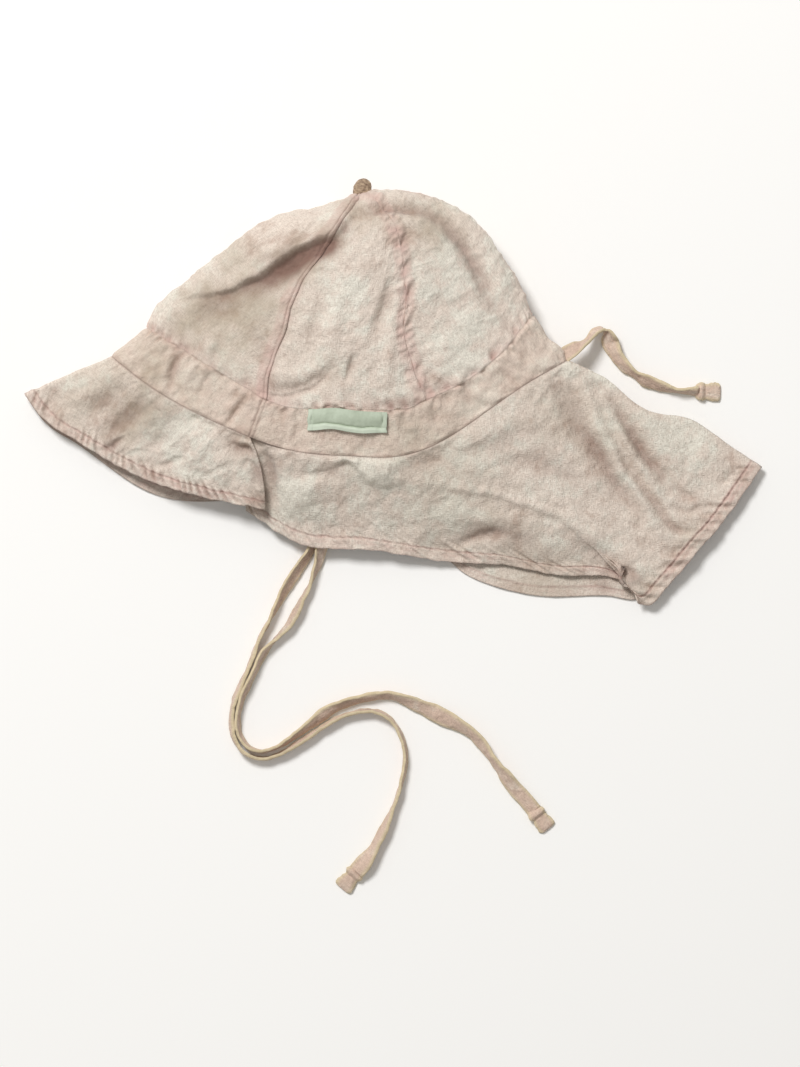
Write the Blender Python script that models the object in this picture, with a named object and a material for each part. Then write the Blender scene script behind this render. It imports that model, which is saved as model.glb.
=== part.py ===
"""Baby sun hat of soft cloth, lying on its side on a floor, seen best from straight above.

The front of the hat is at -X, its back at +X, the top of its crown at +Y, and the floor is z = 0.
An angle runs round the head: 0 at the centre front, 90 on the side that faces up, 180 at the centre
back, and negative on the side that lies underneath.
"""

import math

import bmesh
import bpy
import numpy as np
from mathutils import Vector

# Driving sizes, in metres
CROWN_WIDTH = 0.180     # front fold to back fold, along the band seam
CROWN_DROP = 0.102      # stem to band seam, down the upper side
BAND_WIDTH = 0.020
BRIM_WIDTH = 0.045      # at the centre front
FLAP_LENGTH = 0.105     # at the centre back
LOFT = 0.036            # height of the lying crown over the floor
CLOTH = 0.0016          # wall of every cloth piece
SEAM_GAP = 0.0005       # between two pieces of cloth that are sewn together
CLEARANCE = 0.0003      # between a piece and what it sits on
STEM_WIDTH = 0.0094
STEM_HEIGHT = 0.0050
LABEL_LENGTH = 0.037
LABEL_WIDTH = 0.0110
LABEL_THICKNESS = 0.0009
TIE_THICKNESS = 0.0024  # of the round tube that stands for a tie
KNOT_LENGTH = 0.0105
KNOT_WIDTH = 0.0080
KNOT_THICKNESS = 0.0044
POINT_SPACING = 2.5     # along a tie's middle, in thicknesses of the tie
STEM_TAPER = 0.9        # width of the stem's foot, as a share of its top
STEM_ROUNDING = 0.2     # of its rims, as a share of its width
MM = 0.001

# Middle of the label: angle, share of the way down the band, and how far it drops for each degree
LABEL_ANGLE = 91
LABEL_SHARE = 0.27
LABEL_TILT = 0.0025

# Share of the way down the crown where its top has turned into its side
SHOULDER = 0.45
# Roundness of the crown at the stem, of the upper side, and how far the lower side lies flat
TOP_ROUND = 2.5
UPPER_ROUND = 0.9
FLAT_FROM = 0.7
HOLE_SHARE = 0.025      # share of the crown's drop left open under the stem
TOP_TURN = 0.35         # how far the crown's top has turned away from the upper side's middle

# Folds and seams of the crown from the stem to the band: out and down, as shares of CROWN_WIDTH
# and CROWN_DROP. Each ends on its row of the band seam.
FRONT_FOLD = [(0, 0), (-0.089, 0.069), (-0.243, 0.143), (-0.368, 0.290), (-0.462, 0.419), (-0.548, 0.562)]
FRONT_SEAM = [(0, 0), (-0.037, 0.115), (-0.102, 0.267), (-0.170, 0.465), (-0.209, 0.668), (-0.243, 0.866)]
BACK_SEAM = [(0, 0), (0.052, 0.078), (0.097, 0.253), (0.112, 0.461), (0.112, 0.700), (0.136, 0.853)]
BACK_FOLD = [(0, 0), (0.097, 0.000), (0.183, 0.032), (0.277, 0.124), (0.355, 0.290), (0.415, 0.456)]

# Band seam: angle, out, down, as shares of CROWN_WIDTH and CROWN_DROP
CROWN_SEAM = [
    (0, -0.561, 0.631), (30, -0.478, 0.719), (60, -0.251, 0.959), (90, -0.047, 1.000),
    (120, 0.164, 0.968), (150, 0.373, 0.723), (180, 0.439, 0.571),
]
# Lower edge of the band from its seam: angle, out, down, as shares of BAND_WIDTH
BAND_EDGE = [
    (0, -0.85, 0.66), (30, -0.78, 0.85), (60, -0.40, 0.87), (90, 0.00, 1.10),
    (120, 0.235, 0.99), (150, 0.63, 0.73), (180, 0.82, 1.06),
]
# Edge of the brim from the band: angle, then out and down for the upper half and the lower half, as
# shares of BRIM_WIDTH, and the upper half's height as a share of LOFT
BRIM_EDGE = [
    (0, -0.92, 0.39, -0.92, 0.39, 0.16), (15, -0.88, 0.50, -0.87, 0.53, 0.20),
    (30, -0.73, 0.60, -0.71, 0.64, 0.24), (45, -0.42, 0.74, -0.42, 0.86, 0.30),
    (60, 0.157, 0.76, -0.06, 0.66, 0.36),
]
# Hem of the neck flap from the band: the same columns, as shares of FLAP_LENGTH and LOFT
FLAP_HEM = [
    (60, -0.018, 0.330, 0.050, 0.290, 0.21), (75, 0.018, 0.417, 0.000, 0.360, 0.23),
    (90, 0.112, 0.422, 0.121, 0.386, 0.24), (105, 0.291, 0.471, 0.238, 0.440, 0.24),
    (112, 0.426, 0.498, 0.283, 0.556, 0.24), (120, 0.556, 0.587, 0.466, 0.680, 0.24),
    (127, 0.713, 0.672, 0.646, 0.745, 0.23), (133, 0.748, 0.857, 0.709, 0.825, 0.20),
    (137, 0.760, 0.825, 0.735, 0.800, 0.20), (150, 0.754, 0.750, 0.740, 0.742, 0.23),
    (165, 0.785, 0.641, 0.780, 0.635, 0.20), (180, 0.879, 0.475, 0.879, 0.475, 0.14),
]
# Ripple of the flap's centre back fold: share of the way down, rise as a share of FLAP_LENGTH
BACK_RIPPLE = [(0, 0), (0.2, 0.012), (0.38, -0.030), (0.65, 0.040), (0.85, 0.015), (1, 0)]

# Folds of the upper side: height as a share of LOFT, reach to each side as a share of CROWN_WIDTH,
# then the fold's line, each point an angle and a share of the way down the piece
CROWN_FOLDS = [
    (-0.10, 0.030, [(20, 0.84), (37, 0.71), (48, 0.50), (63, 0.28), (66, 0.15)]),
    (0.06, 0.040, [(12, 0.71), (26, 0.48), (42, 0.24)]),
    (-0.09, 0.024, [(134, 0.27), (160, 0.41), (156, 0.54), (159, 0.68), (157, 0.88)]),
    (-0.04, 0.030, [(69, 0.95), (78, 0.90), (90, 0.82)]),
]
FLAP_FOLDS = [
    (0.07, 0.030, [(102, 0.32), (118, 0.41), (126, 0.61), (134, 0.81)]),
    (0.11, 0.030, [(170, 0.22), (163, 0.33), (149, 0.67), (142, 0.90)]),
    (0.08, 0.030, [(157, 0.12), (154, 0.26), (146, 0.57), (139, 0.85)]),
    (-0.08, 0.036, [(165, 0.31), (161, 0.45), (160, 0.74)]),
    (-0.08, 0.036, [(149, 0.09), (144, 0.25), (140, 0.56)]),
]

# Ties, in millimetres, each from its root to its knot along its middle
NEAR_TIE = [
    (-32.7, -62.0, 7.2), (-33.4, -67.2, 6.6), (-34.1, -73.3, 5.2), (-35.2, -79.4, 3.4), (-37.4, -85.5, 2.0),
    (-39.7, -91.7, 1.4), (-43.0, -97.8, 1.3), (-46.3, -104.3, 1.3), (-51.0, -111.9, 1.3),
    (-56.4, -117.5, 1.3), (-61.3, -123.1, 1.3), (-65.1, -130.7, 1.3), (-69.1, -139.1, 1.3),
    (-72.1, -146.2, 1.3), (-73.6, -154.6, 1.3), (-72.4, -162.6, 1.3), (-68.4, -167.8, 1.3),
    (-62.7, -169.7, 1.3), (-56.2, -168.3, 1.3), (-49.6, -164.5, 1.3), (-43.0, -159.8, 1.3),
    (-36.9, -155.4, 1.3), (-29.8, -150.2, 1.3), (-22.8, -147.1, 1.3), (-15.7, -145.2, 1.3),
    (-8.7, -143.8, 1.3), (-1.6, -143.4, 1.3), (5.4, -145.5, 1.3), (12.5, -148.5, 1.3),
    (21.9, -152.8, 1.3), (31.3, -157.7, 1.3), (36.0, -160.7, 1.3), (40.7, -165.4, 1.3),
    (45.8, -172.3, 1.3), (51.5, -180.0, 1.3), (57.1, -187.1, 1.3), (62.3, -192.7, 1.3), (66.5, -197.9, 1.3),
]
FAR_TIE = [
    (-35.5, -61.5, 3.2), (-36.4, -67.2, 3.1), (-38.3, -72.9, 2.2), (-41.6, -78.5, 1.5), (-45.8, -84.6, 1.3),
    (-49.6, -90.7, 1.3), (-53.8, -98.2, 1.3), (-58.5, -107.6, 1.3), (-63.5, -117.0, 1.3),
    (-67.0, -126.4, 1.3), (-71.0, -135.8, 1.3), (-74.9, -145.2, 1.3), (-76.6, -154.6, 1.3),
    (-75.0, -164.0, 1.3), (-69.8, -170.8, 1.3), (-62.7, -173.2, 1.3), (-53.3, -171.0, 1.3),
    (-43.9, -165.3, 1.3), (-34.5, -159.2, 1.3), (-25.1, -153.7, 1.3), (-15.7, -150.9, 1.3),
    (-6.3, -151.6, 1.3), (0.7, -157.2, 1.3), (4.5, -165.4, 1.3), (5.4, -174.4, 1.3), (3.7, -184.2, 1.3),
    (0.7, -193.6, 1.3), (-3.1, -202.6, 1.3), (-6.8, -210.1, 1.3), (-10.1, -216.2, 1.3),
    (-13.9, -221.8, 1.3), (-17.6, -226.3, 1.3),
]
BACK_TIE = [
    (80.6, 17.0, 13.2), (83.9, 19.1, 12.6), (87.2, 21.2, 11.6), (90.9, 23.3, 9.6), (93.3, 25.9, 7.6),
    (95.6, 28.4, 6.0), (98.5, 29.4, 4.6), (100.8, 27.3, 3.4), (102.2, 22.6, 2.2), (104.6, 17.4, 1.5),
    (108.8, 11.8, 1.3), (114.4, 7.5, 1.3), (120.6, 4.2, 1.3), (127.1, 1.9, 1.3), (134.2, 0.2, 1.3),
    (139.4, 0.0, 1.3), (143.6, -0.1, 1.3),
]
# A tie's end from its tube: share of KNOT_LENGTH, then shares of KNOT_WIDTH and KNOT_THICKNESS
KNOT_SECTIONS = [
    (0, 0.50, 0.55), (0.10, 0.85, 0.85), (0.24, 1.0, 1.0), (0.36, 0.86, 0.80), (0.46, 0.80, 0.55),
    (0.80, 0.94, 0.50), (0.95, 0.86, 0.45), (1.0, 0.66, 0.30),
]

# Height of the crown's upper side: share of the way down, share of LOFT
CREST = [(0, 0.95), (0.3, 1.0), (0.55, 1.0), (0.8, 0.92), (1, 0.82)]
# Heights of the front and back folds, as shares of LOFT: at the stem, the seam and the band's edge
STEM_LEVEL = 0.47
SEAM_LEVEL = 0.40
OPENING_LEVEL = 0.36
OPENING_TOP = 0.74
BRIM_TIP_LEVEL = 0.15
FLAP_TIP_LEVEL = 0.13
FALL_POWER = 1.7        # how soon the brim and the flap come down from the band

TUCK_ANGLE = 12         # how much of the flap's upper half slips under the brim's end
RIPPLE_POWER = 10       # how closely the ripple keeps to the centre back
FOLD_POWER = 0.7        # how soon a fold rises from its ends
FOLD_MARGIN = 0.3       # how near to the hat's front and back folds the other folds fade out

PANEL_ANGLE = 60
PITCH = 0.008           # length of a face on the upper side
LOWER_PITCH = 0.013     # and on the side underneath
PANEL_COLUMNS = 8
LOWER_PANEL_COLUMNS = 6
CROWN_ROWS = 14
BAND_ROWS = 4
BRIM_ROWS = 6
FLAP_ROWS = 12
LABEL_COLUMNS = 8
LABEL_ROWS = 3
KNOT_SIDES = 12
FOLD_POINTS = 25        # along the line of a fold


def spline(stations, values, at):
    """Smooth curve through one row of values a station, read at the places given."""
    stations = np.asarray(stations, float)
    values = np.asarray(values, float)
    slopes = np.gradient(values, stations, axis=0)
    at = np.clip(at, stations[0], stations[-1])
    left = np.clip(np.searchsorted(stations, at, side="right") - 1, 0, len(stations) - 2)
    step = stations[left + 1] - stations[left]
    u = (at - stations[left]) / step
    if values.ndim > 1:
        u = u[..., None]
        step = step[..., None]
    start = (1 + 2 * u) * (1 - u) ** 2 * values[left] + u * (1 - u) ** 2 * step * slopes[left]
    end = u * u * (3 - 2 * u) * values[left + 1] + u * u * (u - 1) * step * slopes[left + 1]
    return start + end


def across(angle):
    """Way from the front fold, at -1, to the back fold, at 1, as it shows from above."""
    return -np.cos(np.radians(angle))


def ring(rows, angle, columns):
    """Columns of a table of rows that start with an angle, read at the angles given."""
    rows = np.asarray(rows, float)
    return spline(across(rows[:, 0]), rows[:, columns], across(angle))


def seam_line(angle):
    return ring(CROWN_SEAM, angle, [1, 2]) * (CROWN_WIDTH, -CROWN_DROP)


def opening_line(angle):
    return seam_line(angle) + ring(BAND_EDGE, angle, [1, 2]) * (BAND_WIDTH, -BAND_WIDTH)


def meridian(points, end_angle, share):
    """Point of a fold or seam of the crown, share 0 at the stem and 1 at the band."""
    line = np.array(points) * (CROWN_WIDTH, -CROWN_DROP)
    line = np.vstack([line, seam_line(np.array(end_angle))])
    along = np.append(0, np.cumsum(np.linalg.norm(np.diff(line, axis=0), axis=1)))
    return spline(along / along[-1], line, share)


def lying(angle, middle, top, bottom):
    """Height of a folded ring of cloth: middle at its two folds, then up to the top or down to the bottom."""
    rise = np.sin(np.radians(angle))
    upper = middle + (top - middle) * np.abs(rise) ** UPPER_ROUND
    settled = 1 - (1 - np.clip(-rise / FLAT_FROM, 0, 1)) ** TOP_ROUND
    return np.where(rise > 0, upper, middle - (middle - bottom) * settled)


def placed(plan, height):
    return np.concatenate([plan, np.asarray(height)[..., None]], axis=-1)


def fold_height(folds, plan_of, plan, angle):
    """Height that a table of folds adds to points of the upper side."""
    total = 0
    for height, reach, line in folds:
        line = np.array(line, float)
        line = spline(np.linspace(0, 1, len(line)), line, np.linspace(0, 1, FOLD_POINTS))
        path = plan_of(line[:, 0], line[:, 1])
        away = np.linalg.norm(plan[..., None, :] - path, axis=-1)
        nearest = np.argmin(away, axis=-1)
        fade = np.sin(np.pi * (nearest + 1) / (FOLD_POINTS + 1)) ** FOLD_POWER
        total = total + height * fade * np.exp(-(away.min(axis=-1) / (reach * CROWN_WIDTH)) ** 2)
    upper = np.clip(np.sin(np.radians(angle)) / FOLD_MARGIN, 0, 1)
    return LOFT * upper * total


def crown_plan(angle, share):
    down = share ** (1 + TOP_TURN * np.abs(np.sin(np.radians(angle))))
    way = across(angle)
    ends = (
        (FRONT_FOLD, 0), (FRONT_SEAM, PANEL_ANGLE), (BACK_SEAM, 2 * PANEL_ANGLE), (BACK_FOLD, 180),
    )
    knots = [across(end) for _, end in ends]
    plan = 0
    at_seam = 0
    for (points, end), knot in zip(ends, knots):
        weight = 1
        for other in knots:
            if other != knot:
                weight = weight * (way - other) / (knot - other)
        plan = plan + weight[..., None] * meridian(points, end, down)
        at_seam = at_seam + weight[..., None] * seam_line(np.array(end))
    return plan + (share ** 3)[..., None] * (seam_line(angle) - at_seam)


def crown(angle, share):
    """Point of the crown's cloth."""
    plan = crown_plan(angle, share)
    turned = 1 - (1 - np.clip(share / SHOULDER, 0, 1)) ** TOP_ROUND
    middle = LOFT * (STEM_LEVEL + (SEAM_LEVEL - STEM_LEVEL) * share)
    crest = LOFT * spline([row[0] for row in CREST], [row[1] for row in CREST], share)
    top = middle + (crest - middle) * turned
    bottom = middle - (middle - CLOTH / 2) * turned
    height = lying(angle, middle, top, bottom)
    return placed(plan, height + fold_height(CROWN_FOLDS, crown_plan, plan, angle))


def opening_height(angle):
    return lying(angle, LOFT * OPENING_LEVEL, LOFT * OPENING_TOP, CLOTH / 2)


def band(angle, share):
    """Point of the band, share 0 at the crown and 1 at its lower edge."""
    start = crown(angle, np.ones_like(share))
    plan = start[..., :2] + share[..., None] * (opening_line(angle) - start[..., :2])
    return placed(plan, start[..., 2] + share * (opening_height(angle) - start[..., 2]))


def edge_plan(rows, length, angle, share):
    """Place of a point of the brim or the flap as seen from above, share 0 at the band and 1 at the edge."""
    upper = (np.sin(np.radians(angle)) > 0)[..., None]
    out = np.where(upper, ring(rows, angle, [1, 2]), ring(rows, angle, [3, 4]))
    return opening_line(angle) + share[..., None] * out * (length, -length)


def edge_height(rows, tip_level, angle, share):
    edge = lying(angle, LOFT * tip_level, LOFT * ring(rows, angle, 5), CLOTH / 2)
    start = opening_height(angle)
    fall = 1 - (1 - share) ** FALL_POWER * (1 + (FALL_POWER - 1) * share)
    return start + fall * (edge - start)


def brim(angle, share):
    """Point of the brim, share 0 at the band and 1 at the edge."""
    plan = edge_plan(BRIM_EDGE, BRIM_WIDTH, angle, share)
    return placed(plan, edge_height(BRIM_EDGE, BRIM_TIP_LEVEL, angle, share))


def flap_plan(angle, share):
    plan = edge_plan(FLAP_HEM, FLAP_LENGTH, angle, share)
    ripple = spline([row[0] for row in BACK_RIPPLE], [row[1] for row in BACK_RIPPLE], share)
    at_back = np.clip(across(angle), 0, 1) ** RIPPLE_POWER
    plan[..., 1] += FLAP_LENGTH * ripple * at_back
    return plan


def flap(angle, share):
    """Point of the neck flap, share 0 at the band and 1 at the hem. It tucks under the brim's end."""
    plan = flap_plan(angle, share)
    height = edge_height(FLAP_HEM, FLAP_TIP_LEVEL, angle, share)
    tucked = np.where(angle > 0, np.clip(1 - (angle - PANEL_ANGLE) / TUCK_ANGLE, 0, 1), 0)
    height = height - tucked * (CLOTH + SEAM_GAP)
    return placed(plan, height + fold_height(FLAP_FOLDS, flap_plan, plan, angle))


def slopes_of(surface, angle, share):
    """Change of the surface's point with the angle, in degrees, and with the share."""
    turn, step = 0.5, 0.004
    along = (surface(angle + turn, share) - surface(angle - turn, share)) / (2 * turn)
    low, high = np.clip(share - step, 0, 1), np.clip(share + step, 0, 1)
    down = (surface(angle, high) - surface(angle, low)) / (high - low)[..., None]
    return along, down


def outward(surface, angle, share):
    along, down = slopes_of(surface, angle, share)
    normal = np.cross(down, along)
    return normal / np.linalg.norm(normal, axis=-1, keepdims=True)


def even_angles(surface, start, end, pitch):
    """Angles from start to end, a pitch apart along the piece's lower half."""
    lower_half = 0.7
    fine = np.linspace(start, end, 200)
    line = surface(fine, np.full_like(fine, lower_half))
    along = np.append(0, np.cumsum(np.linalg.norm(np.diff(line, axis=0), axis=1)))
    count = max(2, round(along[-1] / pitch))
    return np.interp(np.linspace(0, along[-1], count + 1), along, fine)


def new_object(name, mesh_or_curve, cloth, parent=None):
    obj = bpy.data.objects.new(name, mesh_or_curve)
    bpy.context.scene.collection.objects.link(obj)
    obj.data.materials.append(cloth)
    obj.parent = parent
    return obj


def shell(name, surface, angles, shares, thickness, lift=0.0, closed=False):
    """Mesh of a wall round a surface, over a grid of angles and shares. Edges keep half of SEAM_GAP."""
    angle, share = np.meshgrid(angles, shares, indexing="ij")
    along, down = slopes_of(surface, angle, share)
    inset = SEAM_GAP / 2 / np.linalg.norm(down, axis=-1)
    share[:, 0] += inset[:, 0]
    share[:, -1] -= inset[:, -1]
    if not closed:
        inset = SEAM_GAP / 2 / np.linalg.norm(along, axis=-1)
        angle[0] += inset[0]
        angle[-1] -= inset[-1]
    middle = surface(angle, share)
    normal = outward(surface, angle, share)
    mesh = bmesh.new()
    skins = []
    for offset in (lift + thickness / 2, lift - thickness / 2):
        points = middle + normal * offset
        skins.append([[mesh.verts.new(point) for point in column] for column in points])
    outer, inner = skins
    columns, rows = len(angles), len(shares)
    for i in range(columns if closed else columns - 1):
        k = (i + 1) % columns
        for j in range(rows - 1):
            mesh.faces.new((outer[i][j], outer[i][j + 1], outer[k][j + 1], outer[k][j]))
            mesh.faces.new((inner[i][j], inner[k][j], inner[k][j + 1], inner[i][j + 1]))
        mesh.faces.new((outer[i][0], outer[k][0], inner[k][0], inner[i][0]))
        mesh.faces.new((outer[k][-1], outer[i][-1], inner[i][-1], inner[k][-1]))
    if not closed:
        for j in range(rows - 1):
            mesh.faces.new((outer[0][j + 1], outer[0][j], inner[0][j], inner[0][j + 1]))
            mesh.faces.new((outer[-1][j], outer[-1][j + 1], inner[-1][j + 1], inner[-1][j]))
    bmesh.ops.recalc_face_normals(mesh, faces=mesh.faces)
    data = bpy.data.meshes.new(name)
    mesh.to_mesh(data)
    mesh.free()
    data.shade_smooth()
    data.set_sharp_from_angle(angle=math.radians(50))
    return data


def material(name, colour, roughness):
    made = bpy.data.materials.new(name)
    made.use_nodes = True
    shader = made.node_tree.nodes["Principled BSDF"]
    shader.inputs["Base Color"].default_value = (*colour, 1)
    shader.inputs["Roughness"].default_value = roughness
    shader.inputs["Metallic"].default_value = 0
    return made


def clear_scene():
    for obj in list(bpy.data.objects):
        bpy.data.objects.remove(obj, do_unlink=True)


def make_cloth(hat):
    """Six crown panels, the band, the brim and the flap."""
    linen = material("crinkled_linen", (0.70, 0.62, 0.54), 0.9)
    band_linen = material("band_linen", (0.66, 0.55, 0.49), 0.9)
    down_crown = np.linspace(HOLE_SHARE ** 0.5, 1, CROWN_ROWS) ** 2
    for number in range(360 // PANEL_ANGLE):
        start = number * PANEL_ANGLE
        start -= 360 if start >= 180 else 0
        columns = PANEL_COLUMNS if start >= 0 else LOWER_PANEL_COLUMNS
        angles = np.linspace(start, start + PANEL_ANGLE, columns + 1)
        name = f"crown_panel_{number + 1}"
        new_object(name, shell(name, crown, angles, down_crown, CLOTH), linen, hat)
    angles = np.append(
        even_angles(band, 0, 180, PITCH)[:-1], even_angles(band, -180, 0, LOWER_PITCH)[:-1]
    )
    data = shell("band", band, angles, np.linspace(0, 1, BAND_ROWS), CLOTH, closed=True)
    new_object("band", data, band_linen, hat)
    angles = np.append(
        even_angles(brim, -PANEL_ANGLE, 0, LOWER_PITCH)[:-1], even_angles(brim, 0, PANEL_ANGLE, PITCH)
    )
    data = shell("brim", brim, angles, np.linspace(0, 1, BRIM_ROWS), CLOTH)
    new_object("brim", data, linen, hat)
    angles = np.append(
        even_angles(flap, PANEL_ANGLE, 180, PITCH)[:-1],
        even_angles(flap, 180, 360 - PANEL_ANGLE, LOWER_PITCH),
    )
    data = shell("neck_flap", flap, angles, np.linspace(0, 1, FLAP_ROWS), CLOTH)
    new_object("neck_flap", data, linen, hat)


def label_surface(angle, share):
    """The band's surface, turned a little as the label sits askew on it."""
    return band(angle, share + LABEL_TILT * (angle - LABEL_ANGLE))


def make_label(hat):
    """Woven label that lies on the band and follows it."""
    along, down = slopes_of(label_surface, np.array(float(LABEL_ANGLE)), np.array(LABEL_SHARE))
    half_turn = LABEL_LENGTH / 2 / np.linalg.norm(along)
    half_drop = LABEL_WIDTH / 2 / np.linalg.norm(down)
    angles = np.linspace(LABEL_ANGLE - half_turn, LABEL_ANGLE + half_turn, LABEL_COLUMNS)
    shares = np.linspace(LABEL_SHARE - half_drop, LABEL_SHARE + half_drop, LABEL_ROWS)
    lift = CLOTH / 2 + CLEARANCE + LABEL_THICKNESS / 2
    data = shell("label", label_surface, angles, shares, LABEL_THICKNESS, lift)
    new_object("label", data, material("woven_label", (0.62, 0.70, 0.60), 0.7), hat)


def make_stem(hat):
    """Small round nub of cloth that stands on the top of the crown."""
    mesh = bmesh.new()
    half = STEM_WIDTH / 2
    bmesh.ops.create_cone(
        mesh, cap_ends=True, segments=20, radius1=half * STEM_TAPER, radius2=half, depth=STEM_HEIGHT
    )
    data = bpy.data.meshes.new("top_stem")
    mesh.to_mesh(data)
    mesh.free()
    data.shade_smooth()
    data.set_sharp_from_angle(angle=math.radians(40))
    stem = new_object("top_stem", data, material("rolled_linen", (0.62, 0.52, 0.45), 0.9), hat)
    stem.location = (0, CLOTH / 2 + CLEARANCE + STEM_HEIGHT / 2, LOFT * STEM_LEVEL)
    stem.rotation_euler = (-math.pi / 2, 0, 0)
    bevel = stem.modifiers.new("rounded rims", "BEVEL")
    bevel.width = STEM_WIDTH * STEM_ROUNDING
    bevel.segments = 2


def route_points(route):
    """Points along a smooth curve through a tie's route, in metres."""
    route = np.array(route) * MM
    along = np.append(0, np.cumsum(np.linalg.norm(np.diff(route, axis=0), axis=1)))
    count = round(along[-1] / (POINT_SPACING * TIE_THICKNESS))
    return spline(along, route, np.linspace(0, along[-1], count + 1))


def make_tie(name, route, cloth):
    curve = bpy.data.curves.new(name, "CURVE")
    curve.dimensions = "3D"
    curve.bevel_depth = TIE_THICKNESS / 2
    curve.bevel_resolution = 2
    curve.use_fill_caps = True
    points = route_points(route)
    line = curve.splines.new("POLY")
    line.points.add(len(points) - 1)
    for point, place in zip(line.points, points):
        point.co = (*place, 1)
    new_object(name, curve, cloth)


def make_knot(name, route, cloth):
    """Knotted end of a tie: a ring, then a flat tab, straight on from the tie's last stretch."""
    last = route_points(route)[-2:]
    ahead = Vector((*(last[1] - last[0])[:2], 0)).normalized()
    start = Vector((*last[1][:2], KNOT_THICKNESS / 2)) + ahead * CLEARANCE
    aside = ahead.cross(Vector((0, 0, 1)))
    mesh = bmesh.new()
    rings = []
    for along, width, thickness in KNOT_SECTIONS:
        middle = start + ahead * (along * KNOT_LENGTH)
        ring_points = []
        for k in range(KNOT_SIDES):
            turn = 2 * math.pi * k / KNOT_SIDES
            wide = aside * (math.cos(turn) * width * KNOT_WIDTH / 2)
            high = Vector((0, 0, math.sin(turn) * thickness * KNOT_THICKNESS / 2))
            ring_points.append(mesh.verts.new(middle + wide + high))
        rings.append(ring_points)
    for first, second in zip(rings, rings[1:]):
        for k in range(KNOT_SIDES):
            mesh.faces.new((first[k], first[k - 1], second[k - 1], second[k]))
    mesh.faces.new(rings[0])
    mesh.faces.new(reversed(rings[-1]))
    bmesh.ops.recalc_face_normals(mesh, faces=mesh.faces)
    data = bpy.data.meshes.new(name)
    mesh.to_mesh(data)
    mesh.free()
    data.shade_smooth()
    new_object(name, data, cloth)


def make_ties():
    cloth = material("tie_linen", (0.60, 0.53, 0.44), 0.9)
    for name, route in (("chin_tie_near", NEAR_TIE), ("chin_tie_far", FAR_TIE), ("back_tie", BACK_TIE)):
        make_tie(name, route, cloth)
        make_knot(name.replace("tie", "knot"), route, cloth)


def centre_on_floor(hat):
    """Moves the hat so that the middle of its outline is the origin."""
    bpy.context.view_layer.update()
    corners = [child.matrix_world @ Vector(corner) for child in hat.children for corner in child.bound_box]
    for axis in (0, 1):
        values = [corner[axis] for corner in corners]
        hat.location[axis] = -(min(values) + max(values)) / 2


def main():
    clear_scene()
    hat = bpy.data.objects.new("hat", None)
    bpy.context.scene.collection.objects.link(hat)
    make_cloth(hat)
    make_label(hat)
    make_stem(hat)
    centre_on_floor(hat)
    make_ties()


main()
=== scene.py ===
# %% [markdown]
# # A baby sun hat of crinkled linen
#
# The hat is a soft thing that was laid on its side and looked at from straight above: six crown panels
# that meet under a small rolled stem, a band, a brim in front, a long neck flap behind, and three
# narrow ties. The solid model gives the sizes and the places. This lesson dresses it: sheets of cloth
# with their folds, hems and seams, twisted ties, a bare woven label, and materials that look like
# garment-washed linen.

import math

import bpy
import numpy as np
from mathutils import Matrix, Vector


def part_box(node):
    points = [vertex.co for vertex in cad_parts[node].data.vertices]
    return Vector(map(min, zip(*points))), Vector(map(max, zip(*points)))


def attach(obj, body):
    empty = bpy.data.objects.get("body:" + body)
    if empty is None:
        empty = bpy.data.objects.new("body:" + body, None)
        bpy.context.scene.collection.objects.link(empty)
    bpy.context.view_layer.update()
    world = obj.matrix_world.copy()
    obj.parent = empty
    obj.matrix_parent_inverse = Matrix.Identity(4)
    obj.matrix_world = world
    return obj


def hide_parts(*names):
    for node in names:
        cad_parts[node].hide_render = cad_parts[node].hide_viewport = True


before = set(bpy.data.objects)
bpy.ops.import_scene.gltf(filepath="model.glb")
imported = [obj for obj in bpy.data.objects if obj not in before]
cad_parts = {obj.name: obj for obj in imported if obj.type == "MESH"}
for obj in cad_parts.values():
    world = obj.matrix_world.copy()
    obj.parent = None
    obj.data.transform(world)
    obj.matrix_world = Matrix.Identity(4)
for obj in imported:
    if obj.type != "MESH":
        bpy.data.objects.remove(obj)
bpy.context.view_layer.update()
MM = 0.001

# %% [markdown]
# ## Camera first
#
# The picture was taken from straight above. A long lens far away keeps the outline the same at every
# height, so a place in the picture turns into a place on the floor by one scale and one origin. Every
# fold below is given in picture units, because that is how it was read.

# %% Camera
PICTURE = (800, 1067)
UNIT = 0.47 * MM            # one picture unit on the hat
ORIGIN = (393.5, 391.0)     # the picture point over the model's origin
LENS = 250.0
SENSOR = 36.0
FOCUS_LEVEL = 12 * MM       # the height at which the scale is exact


def from_picture(points):
    """Places on the floor, in metres, of points read from the picture."""
    points = np.asarray(points, float)
    x = (points[..., 0] - ORIGIN[0]) * UNIT
    y = (ORIGIN[1] - points[..., 1]) * UNIT
    return np.stack([x, y], axis=-1)


middle = from_picture((PICTURE[0] / 2, PICTURE[1] / 2))
distance = PICTURE[1] * UNIT * LENS / SENSOR
bpy.ops.object.camera_add(location=(middle[0], middle[1], FOCUS_LEVEL + distance))
camera = bpy.context.object
camera.data.lens = LENS
camera.data.sensor_width = SENSOR
camera.data.clip_end = 50       # metres
bpy.context.scene.camera = camera
print("camera height", round(distance, 3), "m")

# %% [markdown]
# ## Floor and light
#
# A plain, nearly white floor lies under the hat. One large soft lamp stands above the top of the
# picture and a little to its left, so that folds have a bright upper side and a soft shaded lower
# side. A pale sky fills the shadows. Colours are shown as they are, with no film look.

# %% Colours
def linear(code):
    """Linear colour, with alpha, of an sRGB hex value."""
    parts = [int(code[k:k + 2], 16) / 255 for k in (1, 3, 5)]
    parts = [c / 12.92 if c <= 0.04045 else ((c + 0.055) / 1.055) ** 2.4 for c in parts]
    return (*parts, 1.0)


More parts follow.
